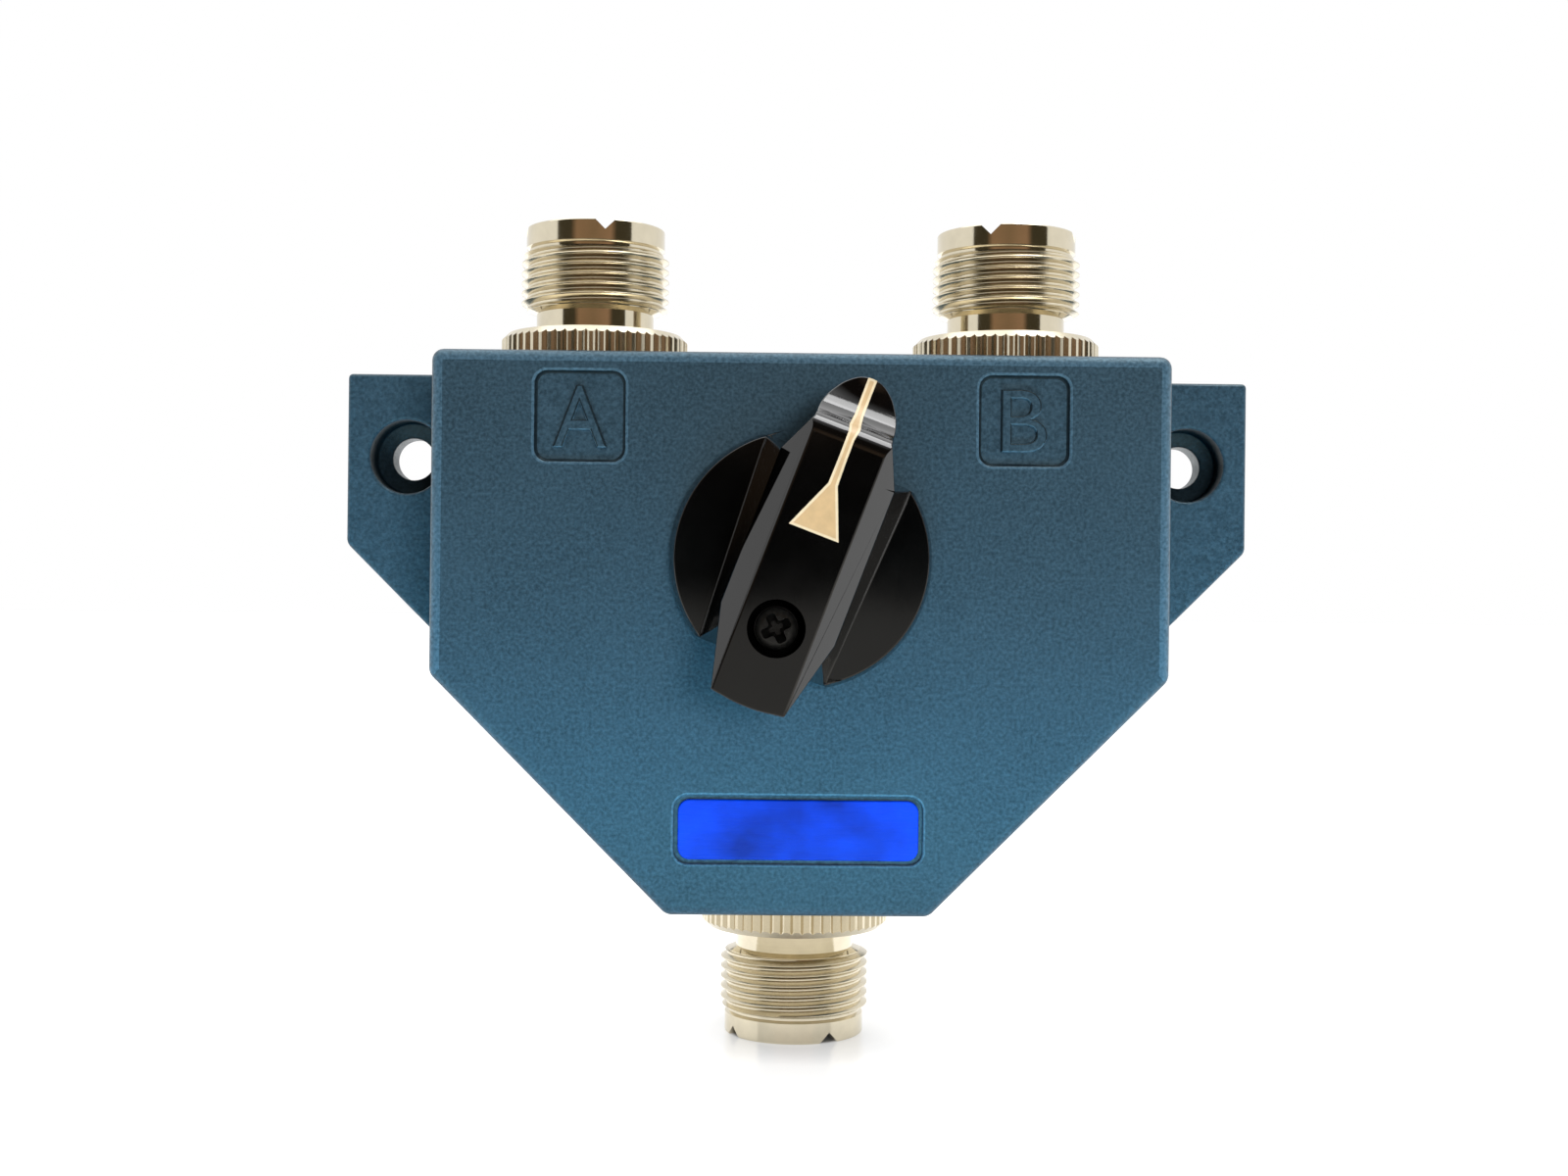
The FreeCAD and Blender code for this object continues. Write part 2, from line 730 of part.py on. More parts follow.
def make_common_strap():
    """A bent strip from the pin of the common port up to the head of the pivot rivet."""
    body = new_body("common_strap")
    back = f"({BLADE_LEFT} - rivet_cap - touch_gap - strap_thick)"
    low = f"({COMMON_LUG} - box_below)"
    strip = new_sketch(body, "strip", "XZ_Plane", back)
    outline(strip, mirrored([("rivet_head / 2", low),
                             ("rivet_head / 2", f"{AXIS_UP} + rivet_head / 2")]))
    pad(strip, "strap_thick")
    make_lug(body, low, mirrored([
        ("rivet_head / 2", f"{PORT_Y} - lug_reach"),
        ("rivet_head / 2", f"-{back}"),
    ]), "0")


def make_lug(body, low, corners, across):
    """The part of a strap that is bent level and slips over a contact's pin."""
    lug = new_sketch(body, "lug", "XY_Plane", low)
    outline(lug, corners)
    pad(lug, "strap_thick")
    hole = new_sketch(body, "hole", "XY_Plane", low)
    circle(hole, across, PORT_Y, "strap_hole")
    pocket(hole, "strap_thick", reverse=True)


# ---------------------------------------------------------------- what turns with the knob

def put_turning(thing, up="0"):
    """Set a turning piece on the switch axis at the front face, turned to port B."""
    thing.Placement = FreeCAD.Placement(
        Vector(), FreeCAD.Rotation(Vector(0, 1, 0), number("half_throw")))
    bind(thing, "Placement.Rotation.Angle", "half_throw")
    bind(thing, "Placement.Base.x", f"({up}) * sin(half_throw)")
    bind(thing, "Placement.Base.y", "-box_depth")
    bind(thing, "Placement.Base.z", f"{AXIS_UP} + ({up}) * cos(half_throw)")


def make_rotor():
    """An insulating shaft: a stem for the knob, a wide journal, a stop flange and a hub."""
    body = new_body("rotor")
    half = new_sketch(body, "half", "XY_Plane")
    outline(half, [
        ("0", "-knob_gap - stem_long"),
        ("stem_bore / 2", "-knob_gap - stem_long"),
        ("stem_bore / 2", "-knob_gap"),
        ("journal_bore / 2", "-knob_gap"),
        ("journal_bore / 2", FLANGE_FRONT),
        ("flange_bore / 2", FLANGE_FRONT),
        ("flange_bore / 2", f"{FLANGE_FRONT} + flange_thick"),
        ("hub_bore / 2", f"{FLANGE_FRONT} + flange_thick"),
        ("hub_bore / 2", HUB_END),
        ("0", HUB_END),
    ])
    turned(half)

    window = new_sketch(body, "stop_window", "YZ_Plane")
    reach = "(stop_bore / 2 + window_gap)"
    outline(window, [
        (f"{FLANGE_FRONT} - 1", f"-stop_round - {reach}"),
        (f"{FLANGE_FRONT} + flange_thick + 1", f"-stop_round - {reach}"),
        (f"{FLANGE_FRONT} + flange_thick + 1", f"{reach} - stop_round"),
        (f"{FLANGE_FRONT} - 1", f"{reach} - stop_round"),
    ])
    pin_angle = "asin((stop_bore / 2 + touch_gap) / stop_round) / 1 deg"
    turned(window, "Groove", "H_Axis", f"2 * (half_throw + {pin_angle})")

    track = new_sketch(body, "ball_track", "YZ_Plane")
    floor = "(front_wall + ball_proud + touch_gap)"
    outline(track, [
        (f"{FLANGE_FRONT} - 1", "stop_round - ball_bore / 2"),
        (floor, "stop_round - ball_bore / 2"),
        (floor, "stop_round + ball_bore / 2"),
        (f"{FLANGE_FRONT} - 1", "stop_round + ball_bore / 2"),
    ])
    ball_angle = "asin((ball_bore / 2 + touch_gap) / stop_round) / 1 deg"
    turned(track, "Groove", "H_Axis", f"2 * (half_throw + {ball_angle})")

    dimples = new_sketch(body, "dimples", "XZ_Plane", f"-{floor}")
    for side in ("-", ""):
        circle(dimples, f"{side}stop_round * sin(half_throw)", "stop_round * cos(half_throw)",
               "ball_bore * 0.7")
    pocket(dimples, "ball_proud")

    clamp = new_sketch(body, "clamp_hole", "XZ_Plane", "knob_gap")
    circle(clamp, "0", "-clamp_reach", "clamp_bore + 2 * thread_gap")
    pocket(clamp, "clamp_bite + thread_gap")
    seat = new_sketch(body, "blade_seat", "XZ_Plane", f"-{HUB_END}")
    outline(seat, mirrored([("blade_wide / 2 + thread_gap", "-hub_bore"),
                            ("blade_wide / 2 + thread_gap", "hub_bore")]))
    pocket(seat, "blade_seat", reverse=True)
    pivot = new_sketch(body, "pivot_hole", "XZ_Plane", f"-{HUB_END}")
    circle(pivot, "0", "0", "rivet_bore + 2 * thread_gap")
    pocket(pivot, "rivet_deep + thread_gap", reverse=True)
    put_turning(body)


def make_blade():
    """The moving contact: a flat bar whose round tip sweeps over the port straps."""
    body = new_body("moving_blade")
    bar = new_sketch(body, "bar", "XZ_Plane", f"-{BLADE_BACK}")
    tip = "sqrt(blade_reach ^ 2 - blade_wide ^ 2 / 4)"
    outline(bar, [
        ("-blade_wide / 2", "-blade_tail"),
        ("blade_wide / 2", "-blade_tail"),
        ("blade_wide / 2", tip),
        ("-blade_wide / 2", tip, "blade_reach"),
    ])
    pad(bar, "blade_thick")
    hole = new_sketch(body, "hole", "XZ_Plane", f"-{BLADE_BACK}")
    circle(hole, "0", "0", "rivet_bore + 2 * thread_gap")
    pocket(hole, "blade_thick", reverse=True)
    put_turning(body)


def make_pivot_rivet():
    body = new_body("pivot_rivet")
    half = new_sketch(body, "half", "XY_Plane")
    outline(half, [
        ("0", f"{HUB_END} - rivet_deep"),
        ("rivet_bore / 2", f"{HUB_END} - rivet_deep"),
        ("rivet_bore / 2", BLADE_BACK),
        ("rivet_head / 2", BLADE_BACK),
        ("rivet_head / 2", f"{BLADE_BACK} + rivet_cap / 2"),
        ("rivet_head / 2 - rivet_cap / 2", f"{BLADE_BACK} + rivet_cap"),
        ("0", f"{BLADE_BACK} + rivet_cap"),
    ])
    turned(half)
    put_turning(body)


def make_stop_pin():
    """A pin in the front wall that runs in the window of the rotor's flange."""
    pin = cylinder("stop_pin", "stop_bore", "stop_sunk + touch_gap + flange_thick + stop_past",
                   "0", f"-{CAVITY_DEEP} - stop_sunk", f"{AXIS_UP} - stop_round")
    pin.Label = "stop_pin"


def make_detent():
    """A ball that a short spring in the front wall presses into the rotor's flange."""
    ball = doc.addObject("Part::Sphere", "detent_ball")
    ball.Label = "detent_ball"
    bind(ball, "Radius", "ball_bore / 2")
    centre = f"(ball_proud - ball_bore / 2 - {CAVITY_DEEP})"
    bind(ball, "Placement.Base.y", centre)
    bind(ball, "Placement.Base.z", f"{AXIS_UP} + stop_round")

    wire = number("spring_wire")
    radius = number("ball_bore / 2 - spring_wire")
    rise = number("spring_long - spring_wire")
    coil = Part.makeHelix(rise / number("spring_turns"), rise, radius)
    section = Part.Wire(Part.makeCircle(wire / 2, Vector(radius, 0, 0), Vector(0, 1, 0)))
    spring = doc.addObject("Part::Feature", "detent_spring")
    spring.Label = "detent_spring"
    spring.Shape = Part.Wire(coil.Edges).makePipeShell([section], True, True)
    base = number(f"{centre} - ball_bore / 2 - spring_wire / 2")
    spring.Placement = FreeCAD.Placement(
        Vector(0, base, number(f"{AXIS_UP} + stop_round")),
        FreeCAD.Rotation(Vector(1, 0, 0), 90))


# ---------------------------------------------------------------- knob

def make_bar():
    """The grip of the knob: where its plan, its side view and its cross-section meet."""
    plan = new_sketch(new_body("bar_plan"), "plan", "XZ_Plane")
    nose_arc = "((nose_tip - nose_root) ^ 2 + nose_half ^ 2) / (2 * nose_half)"
    tail_arc = "(tail_half ^ 2 + tail_bulge ^ 2) / (2 * tail_bulge)"
    outline(plan, [
        ("-tail_half", "-tail_reach"),
        ("tail_half", "-tail_reach", tail_arc),
        ("bar_half", "-wide_tail"),
        ("bar_half", "wide_nose"),
        ("nose_half", "nose_root"),
        ("0", "nose_tip", nose_arc),
        ("-nose_half", "nose_root", nose_arc),
        ("-bar_half", "wide_nose"),
        ("-bar_half", "-wide_tail"),
    ])
    blank = pad(plan, "knob_high")
    tip = number("nose_tip")
    at_tip = lambda edge: edge.BoundBox.ZMin > tip - 1e-3
    dressed(blank, "Fillet", "nose_round", at_tip)

    section = new_sketch(new_body("bar_section"), "section", "XY_Plane")
    outline(section, [
        ("-flat_half", "-knob_high"),
        ("flat_half", "-knob_high"),
        ("bar_half", "flat_drop - knob_high"),
        ("bar_half", "0"),
        ("-bar_half", "0"),
        ("-bar_half", "flat_drop - knob_high"),
    ])
    pad(section, "4 * nose_tip", both_ways=True)

    side = new_sketch(new_body("bar_side"), "side", "YZ_Plane")
    outline(side, [
        ("-knob_high", "-tail_reach - 2 * tail_bulge"),
        ("-tail_belly", "-tail_reach - 2 * tail_bulge"),
        ("-belly_high", "-belly_reach"),
        ("-belly_high", "belly_reach"),
        ("tip_thick - tip_high", "nose_tip + tail_bulge"),
        ("-tip_high", "nose_tip + tail_bulge"),
        ("step_drop - knob_high", "nose_root + step_run", "-scoop_round"),
        ("-knob_high", "nose_root"),
    ])
    block = pad(side, "4 * bar_half", both_ways=True)
    brow = number("nose_root")
    top = number("-knob_high")
    at_brow = lambda edge: (abs(edge.CenterOfMass.z - brow) < 1e-3
                            and abs(edge.CenterOfMass.y - top) < 1e-3)
    dressed(block, "Fillet", "step_round", at_brow)
    blanks = [sketch.getParentGeoFeatureGroup() for sketch in (plan, section, side)]
    return joined("MultiCommon", "bar", blanks)


def make_waist():
    """The sloping foot that carries the bar on the skirt, wider towards the nose."""
    body = new_body("waist")
    foot = new_sketch(body, "foot", "XZ_Plane", "skirt_high")
    outline(foot, mirrored([("foot_tail_half", "-foot_tail"), ("foot_nose_half", "foot_nose")]))
    crown = new_sketch(body, "crown", "XZ_Plane", "knob_high - flat_drop")
    outline(crown, mirrored([("bar_half", "-waist_reach"), ("bar_half", "waist_reach")]))
    loft = body.newObject("PartDesign::AdditiveLoft", "waist_loft")
    loft.Profile = foot
    loft.Sections = [crown]
    loft.Ruled = True
    return body


def make_skirt():
    """The knob's round skirt, cut straight under the nose and the tail."""
    body = new_body("skirt")
    half = new_sketch(body, "half", "XY_Plane")
    outline(half, [
        ("0", "-skirt_high"),
        ("skirt_bore / 2 - skirt_slope", "-skirt_high"),
        ("skirt_bore / 2", "-skirt_land"),
        ("skirt_bore / 2", "-knob_gap"),
        ("0", "-knob_gap"),
    ])
    turned(half)
    ends = new_sketch(body, "ends", "XZ_Plane", "skirt_high")
    outline(ends, mirrored([("skirt_bore", "foot_nose"), ("skirt_bore", "skirt_bore")]))
    outline(ends, mirrored([("skirt_bore", "-skirt_bore"), ("skirt_bore", "-foot_tail")]))
    pocket(ends, "skirt_high")
    return body


def make_knob():
    bar = make_bar()
    blank = joined("MultiFuse", "knob_blank", [bar, make_waist(), make_skirt()])

    arrow = new_sketch(new_body("arrow"), "arrow", "XZ_Plane")
    outline(arrow, mirrored([
        ("arrow_half", "arrow_base"),
        ("line_half", "arrow_neck"),
        ("line_half", "2 * nose_tip"),
    ]))
    pad(arrow, "2 * knob_high")
    marked = joined("MultiCommon", "arrow_on_bar", [arrow.getParentGeoFeatureGroup(), bar])
    lowered = doc.addObject("App::Link", "bar_lowered")
    lowered.LinkedObject = bar
    bind(lowered, "Placement.Base.y", "inlay_thick")
    groove = cut("inlay_groove", marked, lowered)
    inlay = cut("pointer_inlay", marked, lowered)
    put_turning(inlay)

    well = cylinder("clamp_well", "clamp_well", "2 * knob_high",
                    "0", "clamp_sunk + clamp_cap - 3 * knob_high", "-clamp_reach")
    hole = cylinder("clamp_through", "clamp_hole", "3 * knob_high",
                    "0", "-2 * knob_high", "-clamp_reach")
    socket = cylinder("stem_socket", "stem_bore + 2 * stem_gap", "stem_long + stem_gap",
                      "0", "-knob_gap - stem_long - stem_gap", "0")
    cuts = joined("MultiFuse", "knob_cuts", [well, hole, socket, groove])
    put_turning(cut("knob", blank, cuts))


def make_knob_screw():
    """A black cross-head screw that clamps the knob to the rotor."""
    body = new_body("knob_screw")
    top = "(knob_high - clamp_sunk)"
    half = new_sketch(body, "half", "XY_Plane")
    outline(half, [
        ("0", f"-{top}"),
        ("clamp_head / 2 - clamp_cap / 4", f"-{top}"),
        ("clamp_head / 2", f"clamp_cap / 4 - {top}"),
        ("clamp_head / 2", f"clamp_cap - {top}"),
        ("clamp_bore / 2", f"clamp_cap - {top}"),
        ("clamp_bore / 2", "clamp_bite - knob_gap"),
        ("0", "clamp_bite - knob_gap"),
    ])
    turned(half)
    for arm, (wide, tall) in enumerate((("cross_span", "cross_wide"), ("cross_wide", "cross_span"))):
        slot = new_sketch(body, f"slot{arm}", "XZ_Plane", top)
        outline(slot, mirrored([(f"{wide} / 2", f"-{tall} / 2"), (f"{wide} / 2", f"{tall} / 2")]))
        pocket(slot, "cross_deep")
    put_turning(body, "-clamp_reach")


# ---------------------------------------------------------------- build and write

make_housing()
make_rear_cover()
make_cover_screws()
make_badge_plate()
pin_up = f"{STRAP_UP} - strap_wide / 2 - pin_past - box_above"
for port, pin in (("a", pin_up), ("b", pin_up),
                  ("common", f"-({COMMON_LUG} + strap_thick + pin_past)")):
    make_ring(port)
    make_shell(port)
    make_insulator(port)
    make_contact(port, pin)
make_port_strap("a")
make_port_strap("b")
make_common_strap()
make_rotor()
make_blade()
make_pivot_rivet()
make_stop_pin()
make_detent()
make_knob()
make_knob_screw()

NODES = (
    "housing", "rear_cover", "cover_screws", "badge_plate",
    "port_a_ring", "port_a_shell", "port_a_insulator", "port_a_contact",
    "port_b_ring", "port_b_shell", "port_b_insulator", "port_b_contact",
    "port_common_ring", "port_common_shell", "port_common_insulator", "port_common_contact",
    "port_a_strap", "port_b_strap", "common_strap",
    "rotor", "moving_blade", "pivot_rivet", "stop_pin", "detent_ball", "detent_spring",
    "knob", "pointer_inlay", "knob_screw",
)

doc.recompute()
for thing in doc.Objects:
    if "Invalid" in thing.State or "Error" in thing.State:
        raise ValueError(f"{thing.Name} failed: {thing.State}")

os.makedirs("parts", exist_ok=True)
for label in NODES:
    piece = doc.getObjectsByLabel(label)[0]
    if piece.Shape.isNull() or not piece.Shape.isValid():
        raise ValueError(f"{label} has no valid shape")
    piece.Shape.exportStep(f"parts/{label}.step")
    print(f"{label}: {len(piece.Shape.Solids)} solids, {piece.Shape.Volume:.1f} mm3")
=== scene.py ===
"""Two-way coaxial antenna switch: the pieces that show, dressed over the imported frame.

X runs to the right as seen from the front, Y to the back and Z up. The origin lies on the
mounting plane, midway between the two screw holes of the ears. Lengths are in metres.
"""
import json
import math

import bmesh
import bpy
from bpy.props import FloatProperty, FloatVectorProperty, IntProperty, PointerProperty
from mathutils import Matrix, Vector


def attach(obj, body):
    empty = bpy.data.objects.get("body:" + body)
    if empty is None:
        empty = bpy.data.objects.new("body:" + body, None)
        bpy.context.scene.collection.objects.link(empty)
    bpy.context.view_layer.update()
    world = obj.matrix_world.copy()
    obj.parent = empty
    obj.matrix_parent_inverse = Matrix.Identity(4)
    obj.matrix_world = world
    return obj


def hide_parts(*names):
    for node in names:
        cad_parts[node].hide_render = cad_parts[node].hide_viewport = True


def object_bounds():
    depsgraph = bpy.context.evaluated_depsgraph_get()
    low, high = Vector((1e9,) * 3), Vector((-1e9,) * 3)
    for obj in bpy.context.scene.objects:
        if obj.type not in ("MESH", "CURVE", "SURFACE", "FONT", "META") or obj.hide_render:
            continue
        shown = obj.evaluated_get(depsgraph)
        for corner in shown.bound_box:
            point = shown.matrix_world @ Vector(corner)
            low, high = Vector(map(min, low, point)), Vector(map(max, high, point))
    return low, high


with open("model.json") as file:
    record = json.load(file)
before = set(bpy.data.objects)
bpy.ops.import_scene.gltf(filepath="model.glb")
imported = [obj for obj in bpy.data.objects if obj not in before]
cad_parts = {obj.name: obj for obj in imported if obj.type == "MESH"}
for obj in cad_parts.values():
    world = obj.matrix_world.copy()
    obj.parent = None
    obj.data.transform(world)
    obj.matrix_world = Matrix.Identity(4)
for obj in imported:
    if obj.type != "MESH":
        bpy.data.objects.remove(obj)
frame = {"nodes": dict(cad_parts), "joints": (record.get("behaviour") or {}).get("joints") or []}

bl_info = {
    "name": "Antenna Switch",
    "version": (1, 0, 0),
    "blender": (4, 5, 0),
    "location": "3D Viewport > Sidebar > Antenna Switch",
    "description": "Builds the pieces of a two-way coaxial antenna switch and its stage",
    "category": "Object",
}

MM = 0.001
FULL_TURN = math.tau
NEAR = 1e-6             # places closer than this count as one
HAIR = 1e-7             # the same, where very short edges meet
WALL = 3 * MM           # side walls of the box
END_WALL = 6 * MM       # walls of the box that carry the ports
COVER = 1.6 * MM        # thickness of the rear cover
BOSS_IN = 2.1 * MM      # middle of a cover screw, in from the walls of the room
SEAT = 7.02 * MM        # radius of the bores that hold the port shells
THREAD_DEPTH = 0.613    # depth of the thread as a share of its pitch
PAINTED_HIGHLIGHT, PAINTED_SHADE = 1, 2   # materials of the housing after its plain paint: lightened as a painted highlight, darkened as painted shade
CUT, BORE_PAINTED_SHADE = 1, 2   # materials of a port shell after its bright nickel: rougher nickel on the cut thread, and dull metal painted near black inside the bore as painted shade
SIDES = ("a", "b", "common")
KNOB_AXIS = Vector(frame["joints"][0]["pos_m"])
HALF_THROW = math.radians(frame["joints"][0]["range_deg"][1]) / 2
CAD_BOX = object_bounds()


# ---------------------------------------------------------------- sizes and colours

def length(name, millimetres, description):
    """A length that is stated in millimetres and kept in metres."""
    return FloatProperty(name=name, description=description, default=millimetres * MM, min=0,
                         precision=5, subtype="DISTANCE", unit="LENGTH")


def tint(name, shade, description):
    """A colour that is stated as it shows, from 0 to 255, and kept as light."""
    light = [(part / 255 / 12.92) if part <= 10 else ((part / 255 + 0.055) / 1.055) ** 2.4
             for part in shade]
    return FloatVectorProperty(name=name, description=description, default=light, min=0, max=1,
                               size=3, subtype="COLOR")


class SwitchBox(bpy.types.PropertyGroup):
    width: length("Width", 74.4, "Width of the die-cast box without its ears")
    depth: length("Depth", 32.0, "Depth of the box from the mounting plane to its front")
    above: length("Above", 9.3, "Top of the box above the line of the screw holes")
    below: length("Below", 47.3, "Bottom of the box below the line of the screw holes")
    corner: length("Corner cut", 24.0, "Sides of the cut lower corners")
    round: length("Rounding", 1.2, "Rounding of the box's edges")
    ear_wide: length("Ear width", 13.5, "Width of each mounting ear beside the box")
    ear_thick: length("Ear thickness", 8.0, "Thickness of the mounting ears")
    ear_round: length("Ear rounding", 0.5, "Rounding of the ears' edges")
    hole_out: length("Hole distance", 6.8, "Distance of an ear's hole from the box")
    hole_bore: length("Hole", 4.8, "Width of the screw holes")
    sink_bore: length("Counterbore", 8.3, "Width of the counterbores")
    sink_deep: length("Counterbore depth", 4.4, "Depth of the counterbores")
    mark_side: length("Mark", 9.2, "Side of the sunk mark beside each upper port")
    mark_round: length("Mark corners", 1.3, "Corner radius of the marks")
    mark_deep: length("Mark depth", 0.55, "Depth of the marks")
    mark_draft: length("Mark draft", 0.2, "How far the walls of the marks lean in")
    mark_below: length("Mark height", 6.7, "Middle of the marks below the top of the box")
    badge_wide: length("Badge width", 24.9, "Width of the recess for the badge plate")
    badge_tall: length("Badge height", 6.84, "Height of the recess for the badge plate")
    badge_round: length("Badge corners", 1.4, "Corner radius of the badge recess")
    badge_deep: length("Badge depth", 0.5, "Depth of the badge recess")
    badge_up: length("Badge place", 8.7, "Middle of the badge above the bottom of the box")


class SwitchPorts(bpy.types.PropertyGroup):
    pitch: length("Pitch", 44.5, "Distance between ports A and B")
    ring: length("Ring", 20.0, "Outer width of the knurled ring")
    ring_thick: length("Ring thickness", 3.35, "Thickness of the knurled ring")
    ring_bevel: length("Ring bevel", 0.7, "Bevel of the knurled ring")
    teeth: IntProperty(name="Teeth", description="Teeth around the ring", default=56, min=12)
    neck: length("Neck", 12.6, "Width of the neck above the ring")
    thread: length("Thread", 15.875, "Outer width of the thread, five eighths of an inch")
    thread_pitch: length("Thread pitch", 25.4 / 24, "Rise of the thread in one turn")
    rim: length("Rim", 14.9, "Outer width of the notched rim")
    long: length("Length", 14.8, "Length of a port from its seat on the box")


class SwitchKnob(bpy.types.PropertyGroup):
    high: length("Height", 16.0, "Top of the knob above the front of the box")
    skirt: length("Skirt", 26.0, "Width of the round skirt")
    skirt_high: length("Skirt height", 3.0, "Top of the skirt above the front of the box")
    bar_half: length("Half bar", 5.65, "Half of the bar's width")
    flat_half: length("Half flat", 3.55, "Half of the width of the bar's flat top")
    flat_drop: length("Slope", 2.2, "Height of the slopes along the bar")
    nose_tip: length("Nose", 18.2, "Reach of the nose from the axis")
    tail_reach: length("Tail", 14.4, "Reach of the tail from the axis")
    nose_root: length("Step", 12.5, "Reach of the flat top from the axis, where it steps down")
    step: length("Step depth", 1.7, "Depth of the step behind the scooped nose")
    scoop: length("Scoop", 5.15, "Radius of the scoop along the nose")
    clamp_reach: length("Screw place", 7.1, "Distance of the clamping screw from the axis")
    edge: length("Edges", 0.12, "Rounding of the knob's sharp edges")


class SwitchFinish(bpy.types.PropertyGroup):
    paint: tint("Paint", (60, 82, 96), "Colour of the box's textured paint")
    paint_dark: tint("Paint in its pits", (32, 49, 60), "Colour in the pits of the paint")
    metal: tint("Nickel", (222, 212, 188), "Colour of the plated ports")
    black: tint("Black", (6, 6, 6), "Colour of the moulded knob")
    badge: tint("Badge", (1, 58, 188), "Colour of the badge plate")
    cream: tint("Inlay edge", (248, 230, 194), "Colour along the edges of the pointer inlay")
    tan: tint("Inlay", (224, 192, 144), "Colour in the middle of the pointer inlay")


class SwitchStage(bpy.types.PropertyGroup):
    lens: FloatProperty(name="Lens", description="Focal length of the camera in millimetres",
                        default=43.09, min=10)
    eye: FloatVectorProperty(name="Camera", description="Place of the camera", size=3,
                             default=(-0.0037, -0.2196, -0.0147), subtype="TRANSLATION",
                             unit="LENGTH")
    ambient: FloatProperty(name="Ambient", description="Strength of the even light",
                           default=0.12, min=0)


# ---------------------------------------------------------------- shaping

def mm(*rows):
    """Rows of numbers that are stated in millimetres."""
    return [tuple(number * MM for number in row) for row in rows]


def closed_line(bm, places):
    """Edges that run round a row of places."""
    ring = [bm.verts.new(place) for place in places]
    return [bm.edges.new(ends) for ends in zip(ring, ring[1:] + ring[:1])]


def raised(bm, faces, way):
    """Pull flat faces out into a closed block."""
    grown = bmesh.ops.extrude_face_region(bm, geom=faces)["geom"]
    lifted = [item for item in grown if isinstance(item, bmesh.types.BMVert)]
    bmesh.ops.translate(bm, verts=lifted, vec=way)
    bmesh.ops.recalc_face_normals(bm, faces=bm.faces)
    return bm


def prism(corners, start, end, along="Y"):
    """A closed prism over an outline, whose two coordinates follow the axes that are left."""
    place = {"X": lambda a, b, t: (t, a, b), "Y": lambda a, b, t: (a, t, b),
             "Z": lambda a, b, t: (a, b, t)}[along]
    bm = bmesh.new()
    sole = bmesh.ops.contextual_create(bm, geom=closed_line(bm, [
        place(a, b, start) for a, b in corners]))["faces"]
    return raised(bm, sole, place(0, 0, end - start))


def loft(low, high, low_y, high_y):
    """A solid between two outlines that lie at two depths."""
    bm = bmesh.new()
    loops = [closed_line(bm, [(x, depth, z) for x, z in corners])
             for corners, depth in ((low, low_y), (high, high_y))]
    bmesh.ops.bridge_loops(bm, edges=loops[0] + loops[1])
    for loop in loops:
        bmesh.ops.contextual_create(bm, geom=loop)
    bmesh.ops.recalc_face_normals(bm, faces=bm.faces)
    return bm


def welded(bm, distance=NEAR):
    """Merge the places of a shape that lie closer together than a distance."""
    bmesh.ops.remove_doubles(bm, verts=bm.verts, dist=distance)
    return bm


def lathe(profile, steps=96):
    """Turn a closed profile of radius and height about Z."""
    bm = bmesh.new()
    rail = [bm.verts.new((radius, 0, height)) for radius, height in profile]
    edges = [bm.edges.new(ends) for ends in zip(rail, rail[1:] + rail[:1])
             if ends[0].co.x + ends[1].co.x > 0]
    bmesh.ops.spin(bm, geom=rail + edges, cent=(0, 0, 0), axis=(0, 0, 1), angle=FULL_TURN,
                   steps=steps, use_merge=True)
    welded(bm, HAIR / 10)
    bmesh.ops.recalc_face_normals(bm, faces=bm.faces)
    return bm


def drum(radius, low, high, steps):
    """A cylinder about Z."""
    return lathe([(0, low), (radius, low), (radius, high), (0, high)], steps)


def moved(bm, x=0.0, y=0.0, z=0.0):
    """Move a whole shape."""
    bmesh.ops.translate(bm, verts=bm.verts, vec=(x, y, z))
    return bm


def towards_front(bm, x=0.0, y=0.0, z=0.0):
    """Turn a lathed shape so that its height runs to the front, and set it at a point."""
    bm.transform(Matrix.Translation((x, y, z)) @ Matrix.Rotation(math.pi / 2, 4, "X"))
    return bm


def round_edges(bm, offset, wanted, segments=5, clamp=True):
    """Round the edges for which a test holds."""
    edges = [edge for edge in bm.edges if wanted(edge)]
    bmesh.ops.bevel(bm, geom=edges, offset=offset, offset_type="OFFSET", segments=segments,
                    profile=0.5, affect="EDGES", clamp_overlap=clamp, material=-1)
    return bm


def flattened(bm):
    """Join the faces of a shape that lie in one plane."""
    bmesh.ops.dissolve_limit(bm, angle_limit=math.radians(0.5), verts=bm.verts, edges=bm.edges)
    return bm


def sharp(edge, degrees=25):
    """Whether the two faces at an edge turn by more than an angle."""
    return len(edge.link_faces) == 2 and edge.calc_face_angle() > math.radians(degrees)


def behind(depth):
    """A test for edges that lie wholly behind a depth."""
    return lambda edge: min(vert.co.y for vert in edge.verts) > depth


def middle(edge):
    return (edge.verts[0].co + edge.verts[1].co) / 2


def upright(edge):
    """An edge that runs from the front to the back."""
    run = edge.verts[1].co - edge.verts[0].co
    return abs(run.y) > 0.999 * run.length


def both_sides(corners):
    """The right half of an outline from bottom to top, and its mirror image on the left."""
    return corners + [(-x, z) for x, z in reversed(corners) if x > 0]


def hexagon(half, top, low, diagonal):
    """The six-sided outline of the box: square at the top and cut at 45 degrees below."""
    return both_sides([(diagonal - low, -low), (half, half - diagonal), (half, top)])


def plate(x, z, wide, tall, corner, front, back):
    """A rectangular plate with round corners, between two depths."""
    outline = [(x - wide / 2, z - tall / 2), (x + wide / 2, z - tall / 2),
               (x + wide / 2, z + tall / 2), (x - wide / 2, z + tall / 2)]
    return round_edges(prism(outline, front, back), corner, upright, 8)


def rod(x, z, bore, front, back, steps=48):
    """A cylinder from front to back."""
    return towards_front(drum(bore / 2, 0, back - front, steps), x, back, z)


